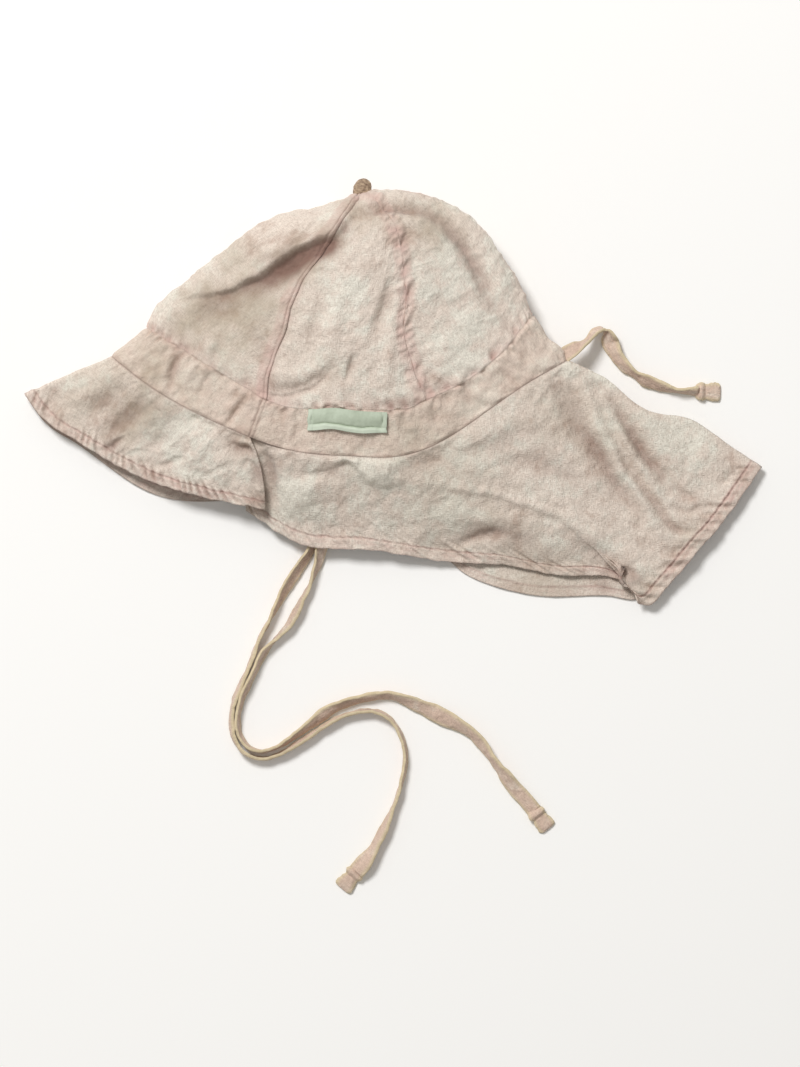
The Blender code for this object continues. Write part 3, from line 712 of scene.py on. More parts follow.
BAND_FOLDS = [
    (-2.4, 1.8, 0.6, [(190, 350), (180, 357), (174, 368), (171, 380), (166, 390)]),
    (1.5, 2.8, [(198, 356), (192, 368), (187, 384)]),
    (-1.7, 1.6, 0.4, [(247, 396), (241, 408), (232, 417), (223, 427)]),
    (0.9, 1.8, [(238, 398), (232, 408), (222, 414)]),
    (-1.2, 1.4, [(213, 374), (205, 384), (200, 397)]),
    (-1.1, 1.6, [(166, 334), (176, 341), (186, 340)]),
    (-1.0, 1.5, [(196, 358), (200, 370), (203, 378)]),
    (0.9, 2.6, [(140, 350), (150, 360), (158, 374)]),
    (-1.0, 2.2, [(518, 350), (530, 364), (540, 370)]),
    (-1.0, 1.9, [(498, 366), (512, 379), (522, 388)]),
    (1.6, 2.6, [(552, 330), (557, 340), (561, 352)]),
    (0.9, 2.6, [(388, 404), (394, 418), (398, 430), (400, 446)]),
    (-0.9, 1.9, [(432, 396), (434, 412), (441, 428)]),
    (-0.8, 2.0, [(462, 386), (470, 400), (480, 412)]),
    (-0.7, 1.8, [(284, 410), (286, 424), (284, 440)]),
]
BRIM_FOLDS = [
    (-2.6, 5.0, [(150, 398), (134, 414), (118, 424), (104, 436)]),
    (1.8, 6.0, [(162, 412), (148, 430), (140, 448)]),
    (1.8, 6.5, [(122, 370), (96, 388), (72, 406)]),
    (-1.8, 5.0, [(130, 386), (104, 402), (80, 418)]),
    (-1.8, 1.6, 0.4, [(98, 449), (112, 447), (126, 438)]),
    (-1.8, 5.0, [(180, 410), (171, 424), (160, 438), (150, 450)]),
    (1.8, 6.0, [(208, 424), (202, 446), (198, 470)]),
    (-2.8, 2.4, [(226, 443), (244, 451), (258, 450)]),
    (1.6, 2.0, [(236, 440), (250, 444), (259, 456)]),
    (-1.4, 1.6, [(240, 462), (250, 462), (260, 470)]),
    (-1.7, 4.0, [(236, 438), (250, 452), (260, 466), (262, 488)]),
    (-1.0, 1.6, [(150, 467), (170, 462), (188, 455)]),
    (-0.9, 1.6, [(200, 479), (220, 468), (238, 457)]),
    (1.2, 4.4, [(222, 450), (218, 470), (216, 492)]),
    (-1.2, 4.0, [(60, 386), (52, 398), (48, 412)]),
]
FLAP_FOLDS = [
    (-1.6, 4.2, 0.3, [(272, 490), (284, 480), (300, 474), (320, 472), (338, 468)]),
    (1.5, 2.4, [(338, 458), (345, 452), (352, 456)]),
    (1.0, 2.4, [(410, 485), (450, 487), (490, 494), (530, 504), (566, 520), (600, 541), (630, 561)]),
    (2.2, 6.5, [(364, 458), (384, 468), (404, 468)]),
    (1.8, 6.5, [(288, 500), (310, 488), (332, 480)]),
    (-2.2, 4.6, [(458, 538), (480, 531), (500, 533), (522, 540), (540, 545)]),
    (-1.8, 4.4, [(560, 534), (590, 550), (612, 560), (628, 572)]),
    (-2.0, 5.0, [(498, 462), (530, 462), (560, 474), (592, 498)]),
    (-2.4, 5.5, 0.3, [(550, 370), (562, 398), (575, 424), (592, 452), (608, 480), (622, 508)]),
    (-2.4, 2.6, [(582, 404), (594, 436), (606, 462), (620, 486), (636, 510), (650, 534)]),
    (3.4, 3.2, -0.3, [
        (580, 376), (592, 406), (604, 436), (618, 462), (634, 484), (649, 508), (660, 530), (669, 547),
    ]),
    (-3.2, 2.6, -0.4, [(622, 452), (634, 472), (645, 488), (660, 507), (672, 524), (685, 533)]),
    (2.6, 3.0, [(604, 394), (614, 418), (628, 446), (642, 468), (655, 486), (668, 500)]),
    (-4.0, 3.6, -0.3, [(606, 392), (622, 416), (638, 440), (652, 462), (668, 480), (684, 494)]),
    (2.8, 5.4, [(618, 388), (636, 408), (654, 430), (674, 456), (696, 484)]),
    (2.6, 3.6, [(626, 578), (636, 588), (648, 598)]),
    (-2.4, 1.9, [(612, 571), (622, 571), (632, 573), (641, 578)]),
    (-1.8, 1.6, [(640, 578), (645, 586), (652, 592)]),
    (-1.9, 1.7, 0.3, [(670, 506), (688, 511), (704, 508), (718, 502)]),
    (-1.9, 1.7, 0.3, [(666, 521), (682, 532), (694, 532)]),
    (-1.7, 1.5, [(702, 502), (690, 497), (676, 487)]),
    (-1.6, 3.4, [(584, 388), (596, 387), (608, 383)]),
    (1.7, 5.0, [(696, 438), (716, 456), (732, 476)]),
    (-1.5, 4.4, [(712, 430), (722, 448), (740, 464)]),
    (-1.5, 2.6, [(720, 486), (732, 473), (746, 469)]),
    (-2.2, 2.2, 0.4, [(456, 547), (476, 540), (492, 534), (506, 534)]),
    (-2.6, 3.0, [(262, 440), (268, 462), (272, 484), (272, 506)]),
    (1.6, 4.4, [(284, 460), (286, 486), (290, 508)]),
    (-1.2, 4.4, [(298, 520), (330, 529), (352, 524)]),
    (-1.7, 4.0, [(398, 470), (425, 462), (452, 456)]),
    (1.2, 6.0, [(430, 512), (470, 518), (512, 524)]),
    (1.3, 5.0, [(440, 446), (480, 436), (520, 424)]),
    (-1.4, 4.4, [(470, 452), (510, 440), (546, 424)]),
]

# Steps: height and reach in millimetres, how sharp the drop is, then the line in picture units
CROWN_STEPS = [
    (3.6, 8.5, 9, [
        (196, 298), (225, 293), (243, 286), (259, 279), (273, 269), (287, 259), (304, 249), (321, 243),
        (336, 238), (347, 224), (355, 204),
    ]),
    (1.4, 4.5, 7, [(264, 392), (282, 396), (302, 391), (318, 383), (338, 366)]),
    (-1.1, 3.6, 6, [(352, 356), (349, 368), (343, 382)]),
]
FLAP_STEPS = [
    (0.7, 6.0, 2.4, [
        (392, 487), (430, 487), (470, 492), (506, 500), (540, 511), (574, 528), (604, 545), (634, 564),
    ]),
    (2.9, 6.5, 2.5, [
        (292, 482), (306, 473), (331, 468), (342, 461), (352, 464), (362, 476), (384, 486), (408, 482),
    ]),
]


def fold_height(folds, places, steps=()):
    """Height in metres that a table of folds, and one of steps, adds at places on the floor."""
    total = np.zeros(places.shape[:-1])
    flat = places.reshape(-1, 2)
    x, y = in_mm(flat)
    waver = MM * (0.9 * noise(x / 11, y / 11, 56) + 0.35 * noise(x / 4, y / 4, 57))
    for table in (folds, steps):
        for height, reach, *form, points in table:
            line = smooth_line(from_picture(points), 24)
            reach = reach * MM
            near = (flat > line.min(axis=0) - 3 * reach) & (flat < line.max(axis=0) + 3 * reach)
            inside = np.all(near, axis=1)
            away, share = from_line(line, flat[inside])
            t = (away + waver[inside]) / reach
            if table is steps:
                flank = np.tanh(form[0] * t) * np.exp(-1.5 * np.abs(t)) * bell(t / 2)
            else:
                lean = form[0] if form else 0
                flank = (1 + 1.3 * lean * t) * bell(t)
            fade = np.sin(np.pi * share * 0.94 + 0.09) ** 0.8
            total.reshape(-1)[inside] += height * MM * flank * fade
    return total


print(len(CROWN_FOLDS) + len(BAND_FOLDS) + len(BRIM_FOLDS) + len(FLAP_FOLDS), "folds")

# %% [markdown]
# ## Sheets
#
# A sheet is a grid of angles and shares. It is finer towards its seams, where the cloth dips into the
# stitching, and coarser on the side that lies underneath. Two skins 1.1 mm apart, joined round their
# edge, make it a closed piece of two layers of linen. Each point also keeps how near it is to a seam
# or a hem, for the colour, and its place on the flat cloth, for the weave.

# %% Sheet builder
THICKNESS = 1.1 * MM
OUTER_FLOOR = 0.05 * MM     # no point of the outer skin lies lower, nor of the inner one than the next
INNER_FLOOR = 0.45 * MM


def spaced(start, end, length, pitch, fine=0.4 * MM, zone=3 * MM, edges=(True, True)):
    """Values from start to end over a length, a pitch apart and finer towards the chosen edges."""
    at = [0.0]
    while at[-1] < length:
        from_start = at[-1] if edges[0] else length
        from_end = length - at[-1] if edges[1] else length
        room = max(min(from_start, from_end), 0)
        at.append(at[-1] + fine + (pitch - fine) * smooth_step(0.6 * zone, 1.6 * zone, room))
    at = np.array(at) * (length / at[-1])
    return start + (end - start) * at / length


def ring_angles(surface, start, end, pitch, far_pitch, shares=(0.7, 1.0), edges=(True, True)):
    """Angles round a piece, never wider apart than the pitch at these shares, or the far pitch underneath."""
    fine = np.linspace(start, end, 1500)
    lines = [surface(fine, np.full_like(fine, share)) for share in shares]
    steps = np.max([np.diff(lengths(line)) for line in lines], axis=0)
    along = np.append(0, np.cumsum(steps))
    at = spaced(0, along[-1], along[-1], pitch, edges=edges)
    angles = np.interp(at, along, fine)
    under = facing(angles) < -0.02
    skip = max(1, round(far_pitch / pitch))
    keep = ~under | (np.arange(len(angles)) % skip == 0)
    keep[[0, -1]] = True
    return angles[keep]


def grid_normals(points, closed):
    """Outward unit normal at each point of a grid of places."""
    if closed:
        wrapped = np.concatenate([points[-1:], points, points[:1]])
        around = (wrapped[2:] - wrapped[:-2]) / 2
    else:
        around = np.gradient(points, axis=0)
    down = np.gradient(points, axis=1)
    normal = np.cross(down, around)
    size = np.linalg.norm(normal, axis=-1, keepdims=True)
    return normal / np.maximum(size, 1e-12)


def sheet_mesh(name, points, relief, flat_map, values, closed=False, thickness=THICKNESS):
    """Closed sheet round a grid of places moved along their normals by the relief."""
    normal = grid_normals(points, closed)
    columns, rows = points.shape[:2]
    outer = points + normal * (relief + thickness / 2)[..., None]
    inner = points + normal * (relief - thickness / 2)[..., None]
    number = np.arange(columns * rows).reshape(columns, rows)
    if closed:
        number = np.concatenate([number, number[:1]])
    a, b = number[:-1, :-1], number[1:, :-1]
    c, d = number[1:, 1:], number[:-1, 1:]
    count = columns * rows
    outer_faces = np.stack([a, d, c, b], axis=-1).reshape(-1, 4)
    inner_faces = np.stack([a, b, c, d], axis=-1).reshape(-1, 4) + count

    def rim(line):
        return np.stack([line[:-1], line[1:], line[1:] + count, line[:-1] + count], axis=-1)

    rims = [rim(number[:, 0]), rim(number[::-1, -1])]
    if not closed:
        rims += [rim(number[0, ::-1]), rim(number[-1, :])]
    faces = np.concatenate([outer_faces, inner_faces, *rims]).tolist()
    outer[..., 2] = np.maximum(outer[..., 2], OUTER_FLOOR)
    inner[..., 2] = np.maximum(inner[..., 2], INNER_FLOOR)
    places = np.concatenate([outer.reshape(-1, 3), inner.reshape(-1, 3)])
    doubled = {key: np.concatenate([row.ravel(), row.ravel()]) for key, row in values.items()}
    flat_map = np.concatenate([flat_map.reshape(-1, 2)] * 2)
    return closed_mesh(name, places, faces, flat_map, doubled)


def cloth_map(points, middle_column):
    """Place of each point on the flat cloth, in millimetres from its middle column and its upper edge."""
    rows = np.linalg.norm(np.diff(points, axis=0), axis=-1)
    across = np.concatenate([np.zeros((1, points.shape[1])), np.cumsum(rows, axis=0)])
    across = across - across[middle_column]
    columns = np.linalg.norm(np.diff(points, axis=1), axis=-1)
    down = np.concatenate([np.zeros((points.shape[0], 1)), np.cumsum(columns, axis=1)], axis=1)
    return np.stack([across, down], axis=-1) / MM


def upper_side(angle):
    """1 on the side that faces up, 0 underneath."""
    return smooth_step(0.0, 0.16, facing(angle))


print("thickness", round(THICKNESS / MM, 2), "mm")

# %% [markdown]
# ## Wrinkles and blotches
#
# Washed linen is never smooth. Long soft waves come from how it was laid, short sharper ones from the
# wash. Both are noise, stretched and folded so that its creases form lines and not dots. The dye is
# uneven too: pale patches in the middle of the panels, and pinker cloth wherever there are more layers.
# Light and shade are painted on as well: sandy patches beside the pale ones, partly the linen's tone
# and partly painted shade; a few patches that lighten cloth lying in shadow and darken cloth under the
# folds; paler fold ridges and darker fold valleys; and a dark reddish painted shade in the sharpest
# creases.

# %% Wrinkles
def wrinkles(places, strength, seed):
    """Small relief of washed linen, in metres."""
    x, y = in_mm(places)
    warp = 3.5 * noise(x / 26, y / 26, seed)
    wave = noise((x + warp) / 19, (y - warp) / 25, seed + 1)
    wave = wave + 0.5 * noise((x - y) / 13, (x + y + warp) / 22, seed + 5)
    crease = 1 - np.abs(noise((0.8 * x + 0.6 * y + warp) / 19, (0.8 * y - 0.6 * x) / 8.5, seed + 2)) * 3.6
    other = 1 - np.abs(noise((0.6 * x - 0.8 * y) / 14, (0.6 * y + 0.8 * x + warp) / 6.5, seed + 3)) * 3.6
    some = smooth_step(-0.1, 0.5, noise(x / 17, y / 17, seed + 6))
    folds = 0.6 * some * np.clip(crease, 0, 1) ** 2 + 0.3 * (1 - some) * np.clip(other, 0, 1) ** 2
    dents = 0.5 * noise((x + y) / 7.5, (y - x + warp) / 5.5, seed + 4)
    dents = dents + 0.16 * noise(x / 3.1 + warp / 4, y / 3.7, seed + 7)
    return strength * MM * (1.15 * wave + folds + dents)


# %% Dye, and painted light and shade
# Middle and radius in picture units, then strength: pale above zero and pink below. Most are uneven dye;
# a few are painted light and shade, lightening cloth that lies in shadow and darkening cloth under folds.
PATCHES = [
    (172, 290, 20, 1.0), (215, 366, 15, 0.8), (200, 322, 26, -0.4), (340, 290, 32, 0.5),
    (350, 236, 16, 0.4), (345, 400, 20, 0.3), (440, 250, 30, 0.6), (452, 330, 34, 0.5), (466, 366, 28, 0.9),
    (500, 240, 14, 0.4), (292, 500, 24, 0.7), (380, 465, 30, 0.8), (470, 448, 34, 0.7), (500, 425, 24, 0.4),
    (400, 520, 40, 0.5), (680, 430, 42, 0.9), (600, 380, 22, 0.6), (562, 368, 14, 0.8), (190, 432, 34, 0.6),
    (236, 478, 22, 0.3), (450, 300, 34, 0.6), (340, 372, 26, 0.6), (352, 302, 30, 0.4), (506, 290, 16, 0.7),
    (300, 508, 28, 0.8), (350, 480, 26, 0.6), (172, 440, 30, 0.5), (250, 470, 14, 0.4), (250, 415, 12, 0.3),
    (460, 520, 40, 0.4), (70, 385, 22, 0.5), (640, 520, 20, 0.3), (560, 500, 30, 0.3), (145, 320, 12, 0.4),
    (255, 246, 24, -0.6), (300, 262, 18, -1.0), (284, 330, 12, -0.5), (398, 238, 14, -0.9),
    (407, 290, 10, -0.7), (407, 330, 9, -0.6), (420, 384, 12, -0.5), (150, 352, 16, 0.3),
    (540, 348, 24, 0.6), (250, 392, 14, -0.7), (100, 400, 26, -0.5), (60, 410, 18, -0.4),
    (440, 380, 10, -0.2), (500, 505, 26, -0.3), (640, 440, 14, -0.5), (586, 556, 22, 0.5),
    (468, 274, 18, 0.6), (404, 374, 16, 0.5), (480, 494, 18, 0.4), (745, 470, 14, -0.6),
    (670, 545, 16, -0.6), (720, 515, 12, -0.4), (250, 440, 12, -0.5), (270, 440, 10, -0.3),
    (440, 412, 16, -0.4), (350, 490, 16, -0.2),
]

# Places where the cloth is sandy and a little darker: partly the linen's own tone, partly painted shade
# where the cloth lies in shadow
SAND_AND_SHADE = [
    (205, 308, 24, 0.9), (184, 326, 16, 0.6), (238, 260, 16, 0.6), (148, 412, 20, 0.9), (126, 432, 16, 0.6),
    (158, 370, 16, 0.7), (352, 214, 14, 0.7), (690, 536, 16, 0.4), (252, 306, 34, 1.0), (226, 352, 28, 0.5),
    (304, 262, 18, 1.0), (332, 240, 14, 0.8), (285, 272, 16, 0.5), (432, 226, 24, 0.9), (378, 216, 18, 0.5),
    (412, 430, 22, 0.3), (330, 372, 16, 0.3), (440, 470, 56, 0.4), (350, 482, 44, 0.15),
    (298, 512, 36, 0.1), (440, 524, 46, 0.15), (500, 522, 30, 0.2), (620, 430, 46, 0.2),
    (690, 440, 34, 0.1), (112, 382, 30, 0.5), (74, 402, 22, 0.4), (250, 440, 18, 0.4), (560, 410, 34, 0.4),
    (610, 440, 24, 0.15), (540, 590, 46, 0.6), (650, 590, 18, 0.4), (150, 350, 14, 0.3),
    (262, 500, 16, 0.5), (190, 398, 18, 0.3),
]

# Painted shade: places in creases and recesses that lie in shadow, drawn dark and reddish
CREASE_SHADE_SPOTS = [
    (210, 301, 11, 0.3), (148, 412, 16, 0.2), (226, 297, 8, 0.4), (246, 288, 9, 0.45), (264, 280, 10, 0.45),
    (282, 268, 11, 0.5), (300, 257, 11, 0.55), (318, 248, 9, 0.5), (331, 242, 7, 0.45), (330, 250, 8, 0.3),
    (344, 228, 6, 0.4), (376, 408, 6, 0.5), (390, 405, 6, 0.6), (404, 402, 6, 0.6), (417, 402, 6, 0.4),
    (262, 262, 8, 0.2), (256, 470, 8, 0.4), (262, 496, 9, 0.6), (622, 574, 6, 0.7), (634, 580, 7, 0.5),
    (604, 586, 7, 0.5), (112, 446, 7, 0.5),
]


def spots(places, rows, seed):
    """Sum of soft round spots with wavering edges."""
    x, y = in_mm(places)
    waver = 1 + 0.25 * noise(x / 6, y / 6, seed)
    total = 0
    for px, py, radius, strength in rows:
        middle = from_picture((px, py))
        away = np.hypot(places[..., 0] - middle[0], places[..., 1] - middle[1]) / (radius * UNIT)
        total = total + strength * bell(away * waver)
    return total


def dye_and_painted_shading(places):
    """How pale the cloth is at each place: 1 palest, -1 pinkest."""
    x, y = in_mm(places)
    grain = 0.45 * noise(x / 17, y / 13, 51) + 0.35 * noise(x / 7, y / 6, 52)
    return np.clip(grain + spots(places, PATCHES, 53), -1, 1)


def kept_values(places, folds, pink, ditch):
    """What the linen reads: pink layers, sandy tone, painted light on ridges and painted shade in valleys and
    ditches.
    """
    # Painted light and shade: the cloth is drawn paler on fold ridges and darker in fold valleys.
    fold_light_and_shade = np.clip(folds / (3 * MM), -1, 1)
    blotch = noise(places[..., 0] / (4 * MM), places[..., 1] / (4 * MM), 55)
    kept = {
        "pink": pink * (0.85 + 0.5 * blotch),
        "ditch": ditch,
        # Sandy tone, partly the linen's own and partly painted shade where the cloth lies in shadow.
        "sand_and_shade": spots(places, SAND_AND_SHADE, 54),
        # Painted shade, dark and reddish, in deep fold valleys and in the listed shaded creases.
        "crease_shade": np.clip(-folds / (6 * MM), 0, 1) ** 1.2 + spots(places, CREASE_SHADE_SPOTS, 58),
    }
    kept = {key: np.clip(row, 0, 1) for key, row in kept.items()}
    kept["pale"] = np.clip(dye_and_painted_shading(places) + 0.35 * fold_light_and_shade, -1, 1)
    return kept


print(len(PATCHES) + len(SAND_AND_SHADE) + len(CREASE_SHADE_SPOTS), "patches of dye")

# %% [markdown]
# ## Crown
#
# Six gores meet at the top. The seam in front was pressed to one side and stitched down twice, so the
# cloth left of it is thicker and pinker, with two fine ditches where the thread pulls it in. The seam
# behind it was not stitched down, and is only a soft broad stripe. Those underneath are plain.

# %% Seams and panels of the crown
TIP = 0.004         # share at which a gore starts, so that its tip isn't a single point


def seam_relief(start, from_start, from_end, along):
    """Relief, pinkness and painted ditch shade of a panel beside its two seams, from distances in
    millimetres.
    """
    end = start + PANEL
    relief = 0
    pink = 0.35 * bell(from_start / 2.0) + 0.35 * bell(from_end / 2.0)
    # Painted shade: the seam ditches are drawn dark, and the two stitched ditches darker still.
    dark = 0.12 * bell(from_start / 0.5) + 0.12 * bell(from_end / 0.5)
    for seam, away in ((start, from_start), (end, from_end)):
        swell, ditch = (2.2, 0.06) if seam == 2 * PANEL else (1.0, 0.32)
        pucker = 0.6 * noise(along / 4.2 + away / 9, seam + away / 8, 14)
        pucker = pucker + 0.3 * noise(along / 2.2, away / 6, 15)
        relief = relief + swell * pucker * bell(away / 5.5) * smooth_step(0, 1.2, away)
        relief = relief - ditch * bell(away / 0.55)
    if end == PANEL:
        on = smooth_step(7.0, 5.4, from_end)
        relief = relief + 0.35 * on + 0.3 * bell((from_end - 0.95) / 0.5) - 0.5 * bell((from_end - 1.9) / 0.4)
        pink = pink + 0.6 * on
        dark = dark + 0.45 * bell(from_end / 0.38) + 0.6 * bell((from_end - 1.9) / 0.33)
    if start == PANEL:
        dark = dark + 0.45 * bell(from_start / 0.38)
    if 2 * PANEL in (start, end):
        away = from_end if end == 2 * PANEL else from_start
        on = smooth_step(5.5, 3.5, away)
        relief = relief + 0.16 * on
        pink = pink + 0.5 * on
        dark = dark * 0.35
    return relief * MM, pink, dark


def crown_panel(number, start):
    """One gore of the crown as a closed sheet."""
    near = start >= 0
    pitch = 0.65 * MM if near else 1.6 * MM
    width = CROWN_WIDTH * (0.30 if number != 2 else 0.36)
    angles = spaced(start, start + PANEL, width, pitch)
    shares = spaced(0, 1, 1.25 * CROWN_DROP, pitch)
    shares[0] = TIP
    angle, share = np.meshgrid(angles, shares, indexing="ij")
    points = crown(angle, share)
    from_start = apart(points, points[:1])
    from_end = apart(points, points[-1:])
    from_band = apart(points, points[:, -1:])
    relief, pink, dark = seam_relief(start, from_start, from_end, share * 1.2 * CROWN_DROP / MM)
    places = points[..., :2]
    side = upper_side(angle)
    relief = relief * smooth_step(0.0, 0.08, share)
    body = smooth_step(0.0, 6.0, np.minimum(from_start, from_end)) * 0.6 + 0.4
    folds = side * fold_height(CROWN_FOLDS, places, CROWN_STEPS)
    creases = body * wrinkles(places, 0.65 if near else 0.35, 3 + number)
    relief = relief + folds
    relief = relief + creases * smooth_step(0, 0.15, share)
    gather = noise(angle / 4.3, from_band / 14, 9) + 0.8 * noise(angle / 2.1, from_band / 9, 10)
    gather = gather * (1 - 0.4 * smooth_step(135, 165, angle))
    relief = relief * smooth_step(-0.3, 3.0, from_band)
    relief = relief + 1.5 * MM * gather * bell(from_band / 4.5) * smooth_step(0, 1.0, from_band)
    pink = pink + (0.5 - 0.4 * gather) * bell(from_band / 4)
    # Painted shade in the hollows of the gathers along the band seam.
    dark = np.maximum(dark, 0.4 * side * np.clip(-gather, 0, 1) * bell(from_band / 3))
    values = kept_values(places, folds, pink, dark)
    name = f"crown_gore_{number + 1}"
    return sheet_mesh(name, points, relief, cloth_map(points, len(angles) // 2), values)


gores = []
for number in range(6):
    start = number * PANEL - (360 if number >= 3 else 0)
    gores.append(crown_panel(number, start))
print("gores", sum(len(gore.data.polygons) for gore in gores), "faces")

# %% [markdown]
# ## Band
#
# The band is a straight strip of two layers, sewn to the crown above and to the brim and the flap
# below. Its lower seam is a crisp line. The crown's front seam goes on through it, and the cloth is
# drawn into short puckers along both edges.

# %% Band
SEAM_ON_BAND = [(266, 393), (258, 414), (250, 436)]     # picture units


def band_sheet():
    angles = ring_angles(band, -180, 180, 0.6 * MM, 1.5 * MM, (0.5,), edges=(False, False))[:-1]
    shares = spaced(0, 1, BAND_WIDTH, 0.55 * MM, fine=0.25 * MM, zone=2.5 * MM)
    angle, share = np.meshgrid(angles, shares, indexing="ij")
    points = band(angle, share)
    places = points[..., :2]
    side = upper_side(angle)
    top = apart(points, points[:, :1])
    low = apart(points, points[:, -1:])
    relief = 0.35 * smooth_step(0.3, 1.2, np.minimum(top, low))
    relief = relief - 0.1 * bell(top / 0.6) - 0.3 * bell(low / 0.4)
    gather = noise(angle / 3.6, top / 9, 21) + 0.7 * noise(angle / 1.9, top / 7, 24)
    puckers = 1.2 * gather * bell((top - 0.5) / 4)
    puckers = puckers + 0.5 * noise(angle / 3.1, low / 10, 22) * bell((low - 1.0) / 3.6)
    puckers = puckers + 0.7 * noise(angle / 4.4 + low / 9, top / 14, 25)
    puckers = puckers + 0.35 * noise(angle / 2.2, top / 6, 26)
    pink = 0.35 + 0.35 * bell(top / 1.5) + 0.35 * bell(low / 1.5)
    front_seam = from_line(smooth_line(from_picture(SEAM_ON_BAND), 12), places)[0] / MM
    relief = relief - side * (0.6 * bell((front_seam + 0.1) / 0.42) + 0.5 * bell((front_seam - 1.8) / 0.42))
    relief = relief + side * 0.28 * smooth_step(5.5, 3.5, np.abs(front_seam + 2))
    pink = pink + side * 0.35 * bell((front_seam + 2) / 4)
    folds = side * fold_height(BAND_FOLDS, places)
    sewn = smooth_step(-0.3, 2.4, top) * smooth_step(-0.3, 2.4, low)
    close = smooth_step(0, 1.2, top) * smooth_step(0, 1.6, low)
    creases = wrinkles(places, 0.62, 31) * (0.3 + 0.7 * side)
    relief = relief * MM * (0.4 + 0.6 * sewn) + sewn * (folds + creases)
    relief = relief + MM * close * puckers * (0.35 + 0.65 * side)
    # Painted shade along the lower seam, in the hollows of the puckers, and in the front seam's stitched
    # ditches.
    ditch = np.maximum(0.5 * bell(low / 0.4), 0.45 * side * np.clip(-gather, 0, 1) * bell(top / 3))
    stitched = 0.7 * bell((front_seam + 0.1) / 0.4) + 0.6 * bell((front_seam - 1.8) / 0.36)
    ditch = np.maximum(ditch, side * stitched)
    at_middle = lengths(points[:, len(shares) // 2])
    flat = np.stack([np.repeat((at_middle / MM)[:, None], len(shares), 1), top + 150], axis=-1)
    values = kept_values(places, folds, 0.8 * pink, ditch)
    return sheet_mesh("hat_band", points, relief, flat, values, closed=True)


hat_band = band_sheet()
print("band", len(hat_band.data.polygons), "faces")

# %% [markdown]
# ## Brim and flap
#
# Brim and neck flap are hemmed along their free edge: the cloth is turned in and stitched, which draws
# it into small slanting puckers. They are wider than the band they hang from, so they fall in soft
# waves. Grain runs straight through them, so their cloth map is a turned plan of the floor.

# %% Hemmed sheets
CORNER = 133        # angle of the flap's back corner


